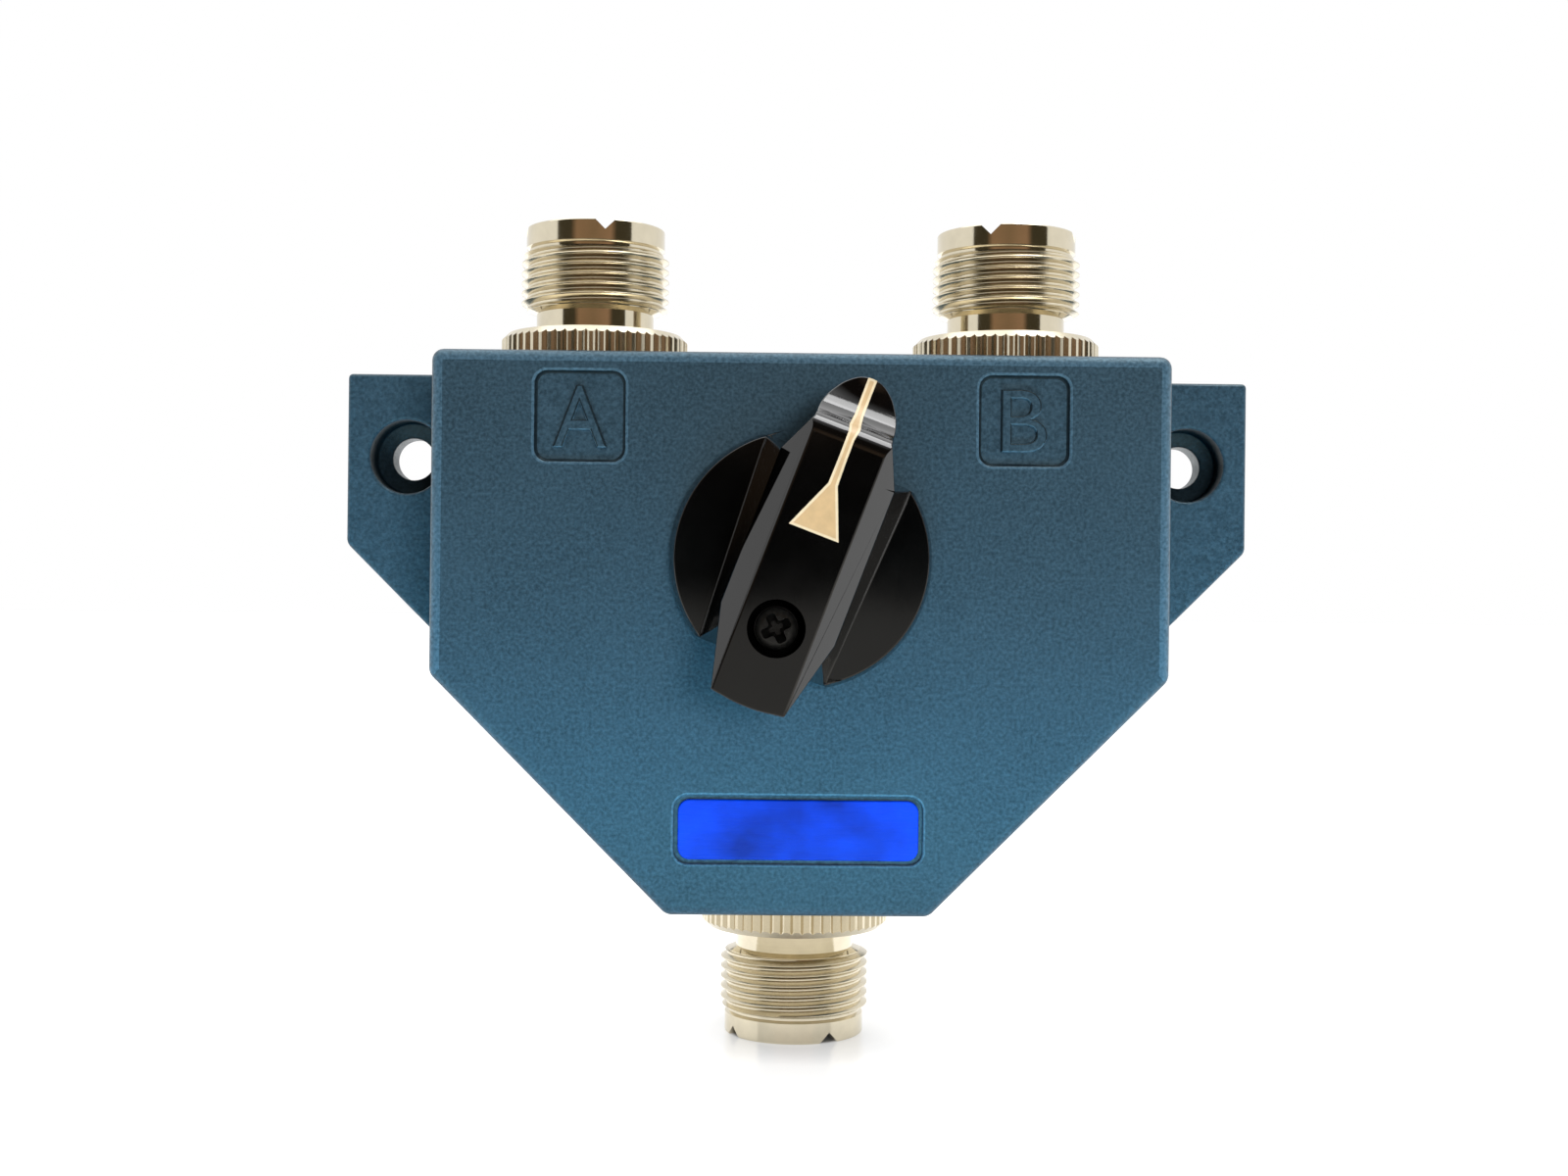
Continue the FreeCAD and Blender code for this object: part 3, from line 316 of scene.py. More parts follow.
def gathered(*shapes):
    """Several shapes in one."""
    whole = bmesh.new()
    for shape in shapes:
        mesh = bpy.data.meshes.new("loose")
        shape.to_mesh(mesh)
        shape.free()
        whole.from_mesh(mesh)
        bpy.data.meshes.remove(mesh)
    return whole


def solid(bm, name):
    """Put a shape into the scene as an object."""
    mesh = bpy.data.meshes.new(name)
    bm.to_mesh(mesh)
    bm.free()
    thing = bpy.data.objects.new(name, mesh)
    bpy.context.scene.collection.objects.link(thing)
    return thing


def settle(thing):
    """Apply the modifiers of an object."""
    seen = thing.evaluated_get(bpy.context.evaluated_depsgraph_get())
    mesh = bpy.data.meshes.new_from_object(seen)
    thing.modifiers.clear()
    thing.data = mesh


def carve(thing, tool, operation="DIFFERENCE"):
    """Cut, join or keep what a tool's shape says, and drop the tool."""
    cutter = solid(tool, "cutter")
    change = thing.modifiers.new("carve", "BOOLEAN")
    change.operation = operation
    change.solver = "EXACT"
    change.object = cutter
    settle(thing)
    bpy.data.objects.remove(cutter)
    bm = bmesh.new()
    bm.from_mesh(thing.data)
    welded(bm)
    if not bm.faces or any(not edge.is_manifold for edge in bm.edges):
        raise RuntimeError(f"{thing.name} did not stay a closed shape")
    bm.to_mesh(thing.data)
    bm.free()
    return thing


def shape_of(thing):
    """Take an object's shape out of the scene."""
    bm = bmesh.new()
    bm.from_mesh(thing.data)
    bpy.data.objects.remove(thing)
    return bm


def crossed(*shapes):
    """What several shapes have in common."""
    thing = solid(shapes[0], "common")
    for shape in shapes[1:]:
        carve(thing, shape, "INTERSECT")
    return shape_of(thing)


def finished(thing, materials, slot, body, *nodes, crease=40):
    """Smooth a piece, give it its finish and set it in place of its nodes."""
    for material in materials:
        thing.data.materials.append(material)
    thing.data.shade_smooth()
    thing.data.set_sharp_from_angle(angle=math.radians(crease))
    even = thing.modifiers.new("even", "WEIGHTED_NORMAL")
    even.keep_sharp = True
    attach(thing, body)
    if nodes:
        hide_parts(*nodes)
    return thing


# ---------------------------------------------------------------- finishes

def plug(tree, made, inputs):
    """Set a node's inputs. Each takes a number, a colour or another node's socket."""
    for name, value in inputs.items():
        if isinstance(value, bpy.types.NodeSocket):
            tree.links.new(value, made.inputs[name])
        else:
            made.inputs[name].default_value = value


def node(tree, kind, inputs=None, **settings):
    """Add a node."""
    made = tree.nodes.new(kind)
    for name, value in settings.items():
        setattr(made, name, value)
    plug(tree, made, inputs or {})
    return made


def feed(tree, shader, **inputs):
    """Set a shader's inputs, whose names have underscores for spaces."""
    plug(tree, shader, {name.replace("_", " "): value for name, value in inputs.items()})


def maths(tree, operation, *values):
    """A sum over numbers or sockets."""
    return node(tree, "ShaderNodeMath", dict(enumerate(values)), operation=operation).outputs[0]


def own_place(tree):
    """The place on an object, in its own coordinates."""
    return node(tree, "ShaderNodeTexCoord").outputs["Object"]


def grain(tree, size, detail=2.0, stretch=(1, 1, 1), distortion=0.0):
    """Noise whose grains have a size in metres, stretched along the object's own axes."""
    spread = node(tree, "ShaderNodeMapping", {"Vector": own_place(tree), "Scale": stretch})
    noise = node(tree, "ShaderNodeTexNoise", {
        "Vector": spread.outputs["Vector"], "Scale": 1 / size, "Detail": detail,
        "Distortion": distortion})
    return noise.outputs["Fac"]


def between(tree, factor, *stops):
    """A ramp of colours over a factor. Each stop is a position and a colour."""
    ramp = node(tree, "ShaderNodeValToRGB", {"Fac": factor})
    elements = ramp.color_ramp.elements
    while len(elements) < len(stops):
        elements.new(0.5)
    for element, (position, colour) in zip(elements, stops):
        element.position = position
        element.color = (*colour, 1)
    return ramp.outputs["Color"]


def grey(level):
    return (level,) * 3


def ranged(tree, value, start, end, low=0.0, high=1.0):
    """Carry a value from one range of numbers over to another."""
    return node(tree, "ShaderNodeMapRange", {
        "Value": value, "From Min": start, "From Max": end, "To Min": low,
        "To Max": high}).outputs["Result"]


def over(tree, factor, low, high):
    """Spread the middle half of a noise over a range of numbers."""
    return ranged(tree, factor, 0.25, 0.75, low, high)


def bump(tree, height, depth):
    """Raise a surface by a height pattern of a depth in metres."""
    return node(tree, "ShaderNodeBump", {
        "Height": height, "Distance": depth, "Strength": 1.0}).outputs["Normal"]


def blend(tree, factor, first, second, mode="MIX"):
    """Mix two colours."""
    return node(tree, "ShaderNodeMix", {0: factor, 6: first, 7: second}, data_type="RGBA",
                blend_type=mode).outputs[2]


def new_finish(name):
    """A material, its tree and its shader."""
    material = bpy.data.materials.new(name)
    material.use_nodes = True
    return material, material.node_tree, material.node_tree.nodes["Principled BSDF"]


def seen_directly(tree):
    """One for what the camera, a mirror or clear glass shows, and zero for stray light."""
    path = node(tree, "ShaderNodeLightPath").outputs
    shown = maths(tree, "MAXIMUM", path["Is Camera Ray"], path["Is Glossy Ray"])
    return maths(tree, "MAXIMUM", shown, path["Is Transmission Ray"])


def scaled(colour, share):
    """A colour made darker or lighter."""
    return tuple(min(part * share, 1.0) for part in colour)


def skin(name, low, high, rough, ridge, cloud, relief=None, stop=0.7, **more):
    """A finish whose colour and shine follow one noise, and whose relief may follow another."""
    material, tree, shader = new_finish(name)
    tone = grain(tree, *cloud)
    ridges = grain(tree, *relief) if relief else tone
    feed(tree, shader, Base_Color=between(tree, tone, (0.3, low), (stop, high)),
         Roughness=over(tree, tone, *rough), Normal=bump(tree, ridges, ridge), **more)
    return material


def paint_finish(finish, name="textured_paint", share=1.0):
    """Fine-grained stove paint: small pits, a few specks of dust and a dull shine. A share above
    one lightens it into a painted highlight, a share below one darkens it into painted shade.
    """
    material, tree, shader = new_finish(name)
    light, dark = scaled(finish.paint, share), scaled(finish.paint_dark, share)
    fine = grain(tree, 0.34 * MM, 3)
    broad = grain(tree, 9 * MM, 2)
    dust = node(tree, "ShaderNodeTexVoronoi", {
        "Vector": own_place(tree), "Scale": 1 / (17 * MM)})
    base = between(tree, fine, (0.3, dark), (0.7, light))
    shade = blend(tree, over(tree, broad, 0.0, 0.2), base, (*scaled(light, 1.15), 1))
    speck = between(tree, dust.outputs["Distance"], (0.008, grey(1)), (0.012, grey(0)))
    dusty = blend(tree, speck, shade, (0.3, 0.25, 0.19, 1))
    feed(tree, shader, Base_Color=dusty, Roughness=over(tree, fine, 0.42, 0.32),
         Normal=bump(tree, fine, 0.05 * MM), Specular_Tint=(0.6, 0.9, 1, 1))
    return material


def badge_finish(finish):
    """Bright blue lacquer over brushed foil, darker in the middle."""
    material, tree, shader = new_finish("blue_lacquer")
    brushed = grain(tree, 0.5 * MM, 3, (0.06, 1, 1))
    cloud = grain(tree, 5 * MM, 3, (0.7, 1, 1))
    split = node(tree, "ShaderNodeSeparateXYZ", {"Vector": own_place(tree)})
    across = maths(tree, "ABSOLUTE", split.outputs["X"])
    # The plate is darker in its middle and lighter towards its ends.
    from_middle = maths(tree, "MULTIPLY_ADD", across, 26.0, cloud)
    base = between(tree, from_middle, (0.45, scaled(finish.badge, 0.4)),
                   (0.8, scaled(finish.badge, 1.1)))
    colour = blend(tree, over(tree, brushed, 0.0, 0.2), base, (*scaled(finish.badge, 0.6), 1))
    feed(tree, shader, Base_Color=colour, Roughness=over(tree, brushed, 0.22, 0.34), IOR=1.25,
         Coat_Weight=0.15, Coat_Roughness=0.05, Normal=bump(tree, brushed, 0.004 * MM))
    return material


def nickel_finish(finish, name="bright_nickel", dull=0.08):
    """Bright nickel over turned brass, with fine rings left by the lathe."""
    return skin(name, scaled(finish.metal, 0.9), finish.metal, (dull, dull + 0.05), 0.0025 * MM,
                (2.2 * MM, 3), (0.12 * MM, 2, (0.02, 0.02, 1)), Metallic=1.0)


def black_finish(finish):
    """Moulded glossy black with faint clouding and handling marks."""
    return skin("glossy_black", scaled(finish.black, 0.7), scaled(finish.black, 1.3),
                (0.06, 0.1), 0.0012 * MM, (5 * MM, 3), (0.3 * MM, 2, (1, 1, 0.12), 0.6),
                IOR=1.62)


def screw_finish():
    """Blackened steel with a fine grain."""
    return skin("blackened_steel", grey(0.004), (0.016, 0.016, 0.015), (0.28, 0.42), 0.006 * MM,
                (0.35 * MM, 3), stop=0.75, Metallic=0.35)


def inlay_finish(name, colour):
    """Hand-laid enamel, a little uneven."""
    return skin(name, scaled(colour, 0.9), scaled(colour, 1.06), (0.3, 0.42), 0.03 * MM,
                (1.1 * MM, 3))


def metal_finish(name, low, high, roughness, size=0.3):
    """Bare metal with drawn streaks along its height."""
    return skin(name, low, high, (roughness, roughness + 0.12), 0.004 * MM,
                (size * MM, 3, (1, 1, 0.15)), Metallic=1.0)


def plastic_finish(name, low, high, roughness, milky):
    """Turned white or natural plastic with a soft shine."""
    return skin(name, low, high, (roughness, roughness + 0.1), 0.006 * MM, (0.25 * MM, 2),
                Subsurface_Weight=milky, Subsurface_Radius=(0.001, 0.001, 0.0008))


# ---------------------------------------------------------------- pieces

def room_outline(box, grow=0.0):
    """The outline of the room in the box, or of the step and the cover around it."""
    half = box.width / 2
    diagonal = half + box.below - box.corner - WALL * math.sqrt(2)
    return hexagon(half - WALL + grow, box.above - END_WALL + grow,
                   box.below - END_WALL + grow, diagonal + grow * math.sqrt(2))


def screw_places(box):
    """Where the four screws of the rear cover sit."""
    half, top, low = box.width / 2, box.above - END_WALL, box.below - END_WALL
    diagonal = half + box.below - box.corner - WALL * math.sqrt(2)
    return [(sign * across, up) for across, up in (
        (half - WALL - BOSS_IN, top - BOSS_IN), (diagonal - low - BOSS_IN, BOSS_IN - low))
        for sign in (-1, 1)]


class SWITCH_OT_housing(bpy.types.Operator):
    """Cast the box with its ears, its sunk marks and the bores for the ports and the rotor"""
    bl_idname = "switch.housing"
    bl_label = "Housing"

    def block(self, box):
        """The rounded box with its two ears."""
        half = box.width / 2
        diagonal = half + box.below - box.corner
        at_back = behind(-NEAR)
        bm = prism(hexagon(half, box.above, box.below, diagonal), -box.depth, 0)
        weight = bm.edges.layers.float.new("bevel_weight_edge")
        for edge in bm.edges:
            if not at_back(edge):
                edge[weight] = math.tan(edge.calc_face_angle() / 2)
        side, start = half + box.ear_wide, half + 0.3 * MM
        ears = prism(both_sides([
            (half - 5 * MM, start - diagonal + 3 * MM), (start, start - diagonal),
            (side, side - diagonal), (side, box.above)]), -box.ear_thick, 0)
        round_edges(ears, box.ear_round, lambda edge: not at_back(edge), 4)
        thing = solid(bm, "painted_box")
        rounding = thing.modifiers.new("rounding", "BEVEL")
        rounding.width, rounding.segments, rounding.limit_method = box.round, 6, "WEIGHT"
        settle(thing)
        return carve(thing, ears, "UNION")

    def room(self, box):
        """The room for the switch, with the step for the cover and round its screw bosses."""
        room = solid(prism(room_outline(box), 4 * MM - box.depth, MM), "room")
        for x, z in screw_places(box):
            carve(room, rod(x, z, 6.4 * MM, -box.depth, -1.66 * MM))
        carve(room, prism(room_outline(box, 1.4 * MM), -COVER, MM), "UNION")
        return shape_of(room)

    def bores(self, box, pitch):
        """Tools for the holes of the cover's screws, the ears, the ports and the rotor."""
        front, reach, axis = -box.depth, 8 * MM, KNOB_AXIS.z
        tools = [rod(x, z, 3.04 * MM, -reach, MM, 24) for x, z in screw_places(box)]
        hole, sink, ear = box.hole_bore / 2, box.sink_bore / 2, box.ear_thick
        floor = ear - box.sink_deep
        for sign in (-1, 1):
            tools.append(towards_front(lathe([
                (0, -MM), (hole, -MM), (hole, floor - 0.15 * MM), (hole + 0.15 * MM, floor),
                (sink - 0.2 * MM, floor), (sink, floor + 0.2 * MM), (sink, ear - 0.35 * MM),
                (sink + 0.12 * MM, ear - 0.12 * MM), (sink + 0.4 * MM, ear + 0.02 * MM),
                (sink + 0.4 * MM, box.depth / 2), (0, box.depth / 2)]),
                sign * (box.width / 2 + box.hole_out)))
            tools.append(moved(drum(SEAT, 0, reach, 64), sign * pitch / 2, front / 2,
                               box.above - 7 * MM))
        tools.append(moved(drum(SEAT, 0, reach, 64), 0, front / 2, -box.below - MM))
        tools.append(rod(0, axis, 19 * MM, front - MM, front + 5 * MM, 96))
        tools.append(rod(0, axis - 11.5 * MM, 2.04 * MM, front + MM, front + 5 * MM, 24))
        tools.append(rod(0, axis + 11.5 * MM, 2.6 * MM, front + 0.8 * MM, front + 5 * MM, 24))
        return tools

    def recesses(self, box, pitch):
        """Tools for the marks, whose walls lean in, and for the recess of the badge."""
        front = -box.depth
        floor = front + box.mark_deep
        share = 1 - 2 * box.mark_draft / box.mark_side
        sunk = []
        for sign in (-1, 1):
            x, z = sign * pitch / 2, box.above - box.mark_below
            mark = plate(x, z, box.mark_side, box.mark_side, box.mark_round, front - 0.1 * MM,
                         floor)
            bmesh.ops.scale(mark, vec=(share, 1, share), space=Matrix.Translation((-x, 0, -z)),
                            verts=[vert for vert in mark.verts if vert.co.y > front])
            sunk.append(round_edges(mark, 0.12 * MM, behind(floor - NEAR), 2))
        return gathered(*sunk, plate(0, box.badge_up - box.below, box.badge_wide, box.badge_tall,
                                     box.badge_round, front - MM, front + box.badge_deep))

    def coat(self, bm, box, pitch):
        """Give the lips and the upper edges a painted highlight, and the sunk walls and the
        counterbores painted shade.
        """
        front, half = -box.depth, box.width / 2
        lip = front + 0.15 * MM
        for face in bm.faces:
            spot = face.calc_center_median()
            within = Vector((abs(spot.x) - half - box.hole_out, spot.z)).length
            # The counterbores get painted shade.
            if within < box.sink_bore / 2 + 0.05 * MM and (
                    -box.ear_thick + 0.2 * MM < spot.y < -0.3 * MM):
                face.material_index = PAINTED_SHADE
            elif front + NEAR < spot.y < front + box.mark_deep - NEAR:
                aside = max(abs(abs(spot.x) - pitch / 2),
                            abs(spot.z - box.above + box.mark_below))
                at_badge = abs(spot.x) < 0.55 * box.badge_wide and (
                    abs(spot.z - box.badge_up + box.below) < 0.6 * box.badge_tall)
                above = spot.z > box.corner - box.below and (
                    spot.z > box.above - box.round or abs(spot.x) > half - box.round)
                # In the marks the lips get a painted highlight and the walls painted shade; the
                # badge's lip and the upper edges get a painted highlight.
                if aside < 0.6 * box.mark_side:
                    face.material_index = PAINTED_HIGHLIGHT if spot.y < lip else PAINTED_SHADE
                elif (at_badge and spot.y < lip) or above:
                    face.material_index = PAINTED_HIGHLIGHT

    def execute(self, context):
        box, pitch = context.scene.switch_box, context.scene.switch_ports.pitch
        front = -box.depth
        thing = self.block(box)
        carve(thing, self.room(box))
        for tool in self.bores(box, pitch):
            carve(thing, tool)
        carve(thing, self.recesses(box, pitch))

        bm = welded(shape_of(thing), HAIR)
        round_edges(bm, 0.26 * MM, lambda edge: (
            all(abs(vert.co.y - front) < HAIR for vert in edge.verts) and sharp(edge, 60)
            and (middle(edge) - KNOB_AXIS).length > 10 * MM), 3)
        self.coat(bm, box, pitch)
        finish = context.scene.switch_finish
        # Plain paint, a copy 1.9 times as light as a painted highlight, and a copy at 0.22 as
        # painted shade.
        finished(solid(bm, "painted_box"), [
            paint_finish(finish), paint_finish(finish, "paint_with_painted_highlight", 1.9),
            paint_finish(finish, "paint_with_painted_shade", 0.22)],
            "blue_paint", "housing", "housing", crease=50)
        return {"FINISHED"}


class SWITCH_OT_letters(bpy.types.Operator):
    """Raise the letters A and B from the floors of the two marks"""
    bl_idname = "switch.letters"
    bl_label = "Port letters"

    def execute(self, context):
        box = context.scene.switch_box
        ports = context.scene.switch_ports
        for letter, sign, wide, thin in (("A", -1, 5.5, 0.08), ("B", 1, 4.6, 0.16)):
            curve = bpy.data.curves.new(f"letter_{letter}", "FONT")
            curve.body = letter
            curve.size = 8.2 * MM
            curve.align_x = "CENTER"
            curve.offset = -thin * MM
            curve.extrude = 0.22 * MM
            curve.bevel_depth = 0.2 * MM
            curve.bevel_resolution = 3
            text = bpy.data.objects.new(f"letter_{letter}", curve)
            context.scene.collection.objects.link(text)
            settled = bpy.data.meshes.new_from_object(
                text.evaluated_get(context.evaluated_depsgraph_get()))
            bpy.data.objects.remove(text)
            bm = bmesh.new()
            bm.from_mesh(settled)
            welded(bm, HAIR)
            low = Vector(min(vert.co[axis] for vert in bm.verts) for axis in range(3))
            high = Vector(max(vert.co[axis] for vert in bm.verts) for axis in range(3))
            moved(bm, *(-(low + high) / 2))
            bmesh.ops.scale(bm, verts=bm.verts, vec=(wide * MM / (high.x - low.x),
                                                     6.3 * MM / (high.y - low.y), 1))
            towards_front(bm, sign * ports.pitch / 2, -box.depth + box.mark_deep - 0.02 * MM,
                          box.above - box.mark_below)
            bm.normal_update()
            # Faces off the front: those that face down get a painted highlight, the rest painted
            # shade.
            for face in bm.faces:
                if face.normal.y > -0.98:
                    face.material_index = PAINTED_HIGHLIGHT if face.normal.z < -0.25 else PAINTED_SHADE
            finished(solid(bm, f"letter_{letter}"), [bpy.data.materials[name] for name in (
                "textured_paint", "paint_with_painted_highlight", "paint_with_painted_shade")], "blue_paint", "housing")
        return {"FINISHED"}


class SWITCH_OT_badge_plate(bpy.types.Operator):
    """Lay the bare blue plate in its recess"""
    bl_idname = "switch.badge_plate"
    bl_label = "Badge plate"

    def execute(self, context):
        box = context.scene.switch_box
        floor = -box.depth + box.badge_deep
        bm = plate(0, box.badge_up - box.below, box.badge_wide - 0.8 * MM,
                   box.badge_tall - 0.8 * MM, box.badge_round - 0.2 * MM, floor - 0.4 * MM, floor)
        face = lambda edge: max(vert.co.y for vert in edge.verts) < floor - 0.3 * MM
        round_edges(bm, 0.18 * MM, face, 3)
        finished(solid(bm, "blue_badge"), [badge_finish(context.scene.switch_finish)],
                 "badge_blue", "housing", "badge_plate")
        return {"FINISHED"}


class SWITCH_OT_rear_cover(bpy.types.Operator):
    """Close the back with the painted cover and its four countersunk screws"""
    bl_idname = "switch.rear_cover"
    bl_label = "Rear cover and screws"

    def execute(self, context):
        box = context.scene.switch_box
        bm = prism(room_outline(box, 1.3 * MM), -COVER, 0)
        thing = solid(round_edges(bm, 0.25 * MM, behind(-0.1 * MM), 3), "painted_cover")
        holes, screws = [], []
        for index, (x, z) in enumerate(screw_places(box)):
            holes.append(towards_front(lathe(mm(
                (0, -1), (3.1, -1), (3.1, 0), (1.7, 1.4), (1.7, 3), (0, 3)), 48), x, 0, z))
            screw = solid(towards_front(lathe(mm(
                (0, 0.02), (2.6, 0.02), (2.85, 0.1), (2.85, 0.18), (1.5, 1.4), (1.5, 7.6),
                (1.1, 8), (0, 8)), 48), x, 0, z), "screw")
            recess = cross_tool(2.6 * MM, 0.75 * MM, 1.2 * MM)
            recess.transform(Matrix.Translation((x, 0, z)) @ Matrix.Rotation(
                math.radians(20 + 47 * index), 4, "Y") @ Matrix.Rotation(math.pi, 4, "X"))
            carve(screw, recess)
            screws.append(shape_of(screw))
        carve(thing, gathered(*holes))
        finished(thing, [bpy.data.materials["textured_paint"]], "blue_paint", "housing",
                 "rear_cover")
        finished(solid(gathered(*screws), "cover_screw_set"), [metal_finish(
            "bright_steel", (0.42, 0.41, 0.39), (0.6, 0.59, 0.57), 0.25)], "steel", "housing",
            "cover_screws")
        return {"FINISHED"}


def cross_tool(span, wide, deep):
    """A tapered cross that opens at Y zero and points to the back."""
    a, b = span / 2, wide / 2
    outline = [(b, -a), (b, -b), (a, -b), (a, b), (b, b), (b, a),
               (-b, a), (-b, b), (-a, b), (-a, -b), (-b, -b), (-b, -a)]
    bm = prism(outline, -0.3 * MM, deep)
    round_edges(bm, b * 0.55, upright, 3)
    tip = [vert for vert in bm.verts if vert.co.y > deep - HAIR]
    bmesh.ops.scale(bm, verts=tip, vec=(0.45, 1, 0.45))
    return bm


def on_port(bm, scene, side):
    """Set a shape that stands on Z at one of the ports, turned as its notches lie."""
    box, ports = scene.switch_box, scene.switch_ports
    x, z, turn, over_end = {"a": (-ports.pitch / 2, box.above, 12.4, 0),
                            "b": (ports.pitch / 2, box.above, -19.7, 0),
                            "common": (0, -box.below, -29.5, 180)}[side]
    bm.transform(Matrix.Translation((x, -box.depth / 2, z))
                 @ Matrix.Rotation(math.radians(over_end), 4, "X")
                 @ Matrix.Rotation(math.radians(turn), 4, "Z"))
    return bm


def set_at_ports(shape, scene, piece, part, materials, crease):
    """Set a copy of a shape at each of the three ports."""
    for side in SIDES:
        bm = on_port(shape.copy(), scene, side)
        finished(solid(bm, f"{piece}_{side}"), materials, "nickel", "housing",
                 f"port_{side}_{part}", crease=crease)
    shape.free()


class SWITCH_OT_port_shells(bpy.types.Operator):
    """Turn the three nickel-plated port shells with their threads and notched rims"""
    bl_idname = "switch.port_shells"
    bl_label = "Port shells"

    def thread(self, ports):
        """A helical ridge, cut to length by a cone below and a chamfer above."""
        pitch, crest = ports.thread_pitch, ports.thread / 2
        root = crest - THREAD_DEPTH * pitch
        turns, steps = 9, 72
        bm = bmesh.new()
        rail = [bm.verts.new((radius, 0, 4.6 * MM + height * pitch)) for radius, height in (
            (root, 0), (root + 0.03 * MM, 0.1), (crest - 0.02 * MM, 0.43), (crest, 0.46),
            (crest, 0.54), (crest - 0.02 * MM, 0.57), (root + 0.03 * MM, 0.9), (root, 1))]
        edges = [bm.edges.new(ends) for ends in zip(rail, rail[1:])]
        bmesh.ops.spin(bm, geom=rail + edges, cent=(0, 0, 0), axis=(0, 0, 1),
                       dvec=(0, 0, pitch / steps), angle=FULL_TURN * turns, steps=turns * steps)
        welded(bm)
        for height, way in ((5.7 * MM, -1), (12.6 * MM, 1)):
            whole = bm.verts[:] + bm.edges[:] + bm.faces[:]
            cut = bmesh.ops.bisect_plane(bm, geom=whole, dist=HAIR, plane_co=(0, 0, height),
                                         plane_no=(0, 0, way), clear_outer=True)
            rim = [item for item in cut["geom_cut"] if isinstance(item, bmesh.types.BMEdge)]
            bmesh.ops.contextual_create(bm, geom=rim)
        bmesh.ops.recalc_face_normals(bm, faces=bm.faces)
        neck = ports.neck / 2
        slope = (crest - neck) / (0.75 * MM)
        limit = lathe([(neck - MM, 5.55 * MM - MM / slope), (crest + 0.4 * MM, 6.3 * MM
                       + 0.4 * MM / slope), (crest + 0.4 * MM, 12.0 * MM - 0.4 * MM),
                       (root - 0.1 * MM, 12.0 * MM + crest - root + 0.1 * MM - 0.6 * MM),
                       (4 * MM, 12.3 * MM), (4 * MM, 5 * MM)])
        return crossed(bm, limit)

    def core(self, ports):
        """The lathed body: shank, neck, relief, rim and the wide bore for a plug."""
        neck, rim, top = ports.neck / 2, ports.rim / 2, ports.long
        relief = ports.thread / 2 - THREAD_DEPTH * ports.thread_pitch - 0.1 * MM
        bm = lathe([
            *mm((5.7, -6), (6.8, -6), (7, -5.8), (7, 3.2)), (6.85 * MM, ports.ring_thick),
            (neck, ports.ring_thick), (neck, 5.55 * MM), (relief, 5.9 * MM),
            (relief, 11.5 * MM), *mm((7.15, 12.0), (7.15, 12.4)), (rim, 12.65 * MM), (rim, top),
            (6.35 * MM, top), *mm((6.35, 6.6), (5.7, 6.6))])
        round_edges(bm, 0.18 * MM, lambda edge: (
            sharp(edge, 30) and middle(edge).z > top - NEAR), 3)
        thing = solid(bm, "core")
        notch = prism([(0, top - 1.1 * MM), (1.15 * MM, top + 0.02 * MM), (1.15 * MM, top + MM),
                       (-1.15 * MM, top + MM), (-1.15 * MM, top + 0.02 * MM)], -9 * MM, 9 * MM)
        crossing = notch.copy()
        crossing.transform(Matrix.Rotation(math.pi / 2, 4, "Z"))
        carve(thing, notch)
        carve(thing, crossing)
        return shape_of(thing)

    def execute(self, context):
        ports = context.scene.switch_ports
        finish = context.scene.switch_finish
        # Inside the bore the metal is dull and painted near black as shade.
        nickel = [nickel_finish(finish), nickel_finish(finish, "cut_nickel", 0.2), metal_finish(
            "dull_bore_painted_shade", (0.05, 0.045, 0.035), (0.12, 0.11, 0.09), 0.35)]
        thread = self.thread(ports)
        for face in thread.faces:
            face.material_index = CUT
        core = self.core(ports)
        # Faces inside the bore get the dull metal with painted shade.
        for face in core.faces:
            spot = face.calc_center_median()
            if spot.z > 6.7 * MM and spot.xy.length < 6.4 * MM:
                face.material_index = BORE_PAINTED_SHADE
        set_at_ports(gathered(core, thread), context.scene, "nickel_shell", "shell", nickel, 32)
        return {"FINISHED"}


class SWITCH_OT_knurled_rings(bpy.types.Operator):
    """Knurl the three rings that lock the ports to the box"""
    bl_idname = "switch.knurled_rings"
    bl_label = "Knurled rings"

    def execute(self, context):
        ports = context.scene.switch_ports
        radius, top, bevel = ports.ring / 2, ports.ring_thick, ports.ring_bevel
        bm = bmesh.new()
        places = 6    # points of the outline for each tooth
        bmesh.ops.create_circle(bm, cap_ends=True, radius=radius,
                                segments=ports.teeth * places)
        bm.verts.ensure_lookup_table()
        for share, steps in ((0.972, (0,)), (0.989, (1, 5))):
            teeth = [vert for vert in bm.verts if vert.index % places in steps]
            bmesh.ops.scale(bm, verts=teeth, vec=(share, share, 1))
        raised(bm, bm.faces[:], (0, 0, top))
        limit = lathe([(SEAT, 0), (radius - 0.3 * MM, 0), (radius + 0.1 * MM, 0.4 * MM),
                       (radius + 0.1 * MM, top - bevel - 0.1 * MM), (radius - bevel, top),
                       (SEAT, top)])
        set_at_ports(crossed(bm, limit), context.scene, "knurled_ring", "ring",
                     [bpy.data.materials["cut_nickel"]], 25)
        return {"FINISHED"}


def on_box(bm):
    """Set a shape of the knob's own frame on the box: height runs to the front, the nose to B."""
    bm.transform(Matrix.Translation(KNOB_AXIS) @ Matrix.Rotation(HALF_THROW, 4, "Y"))
    return bm


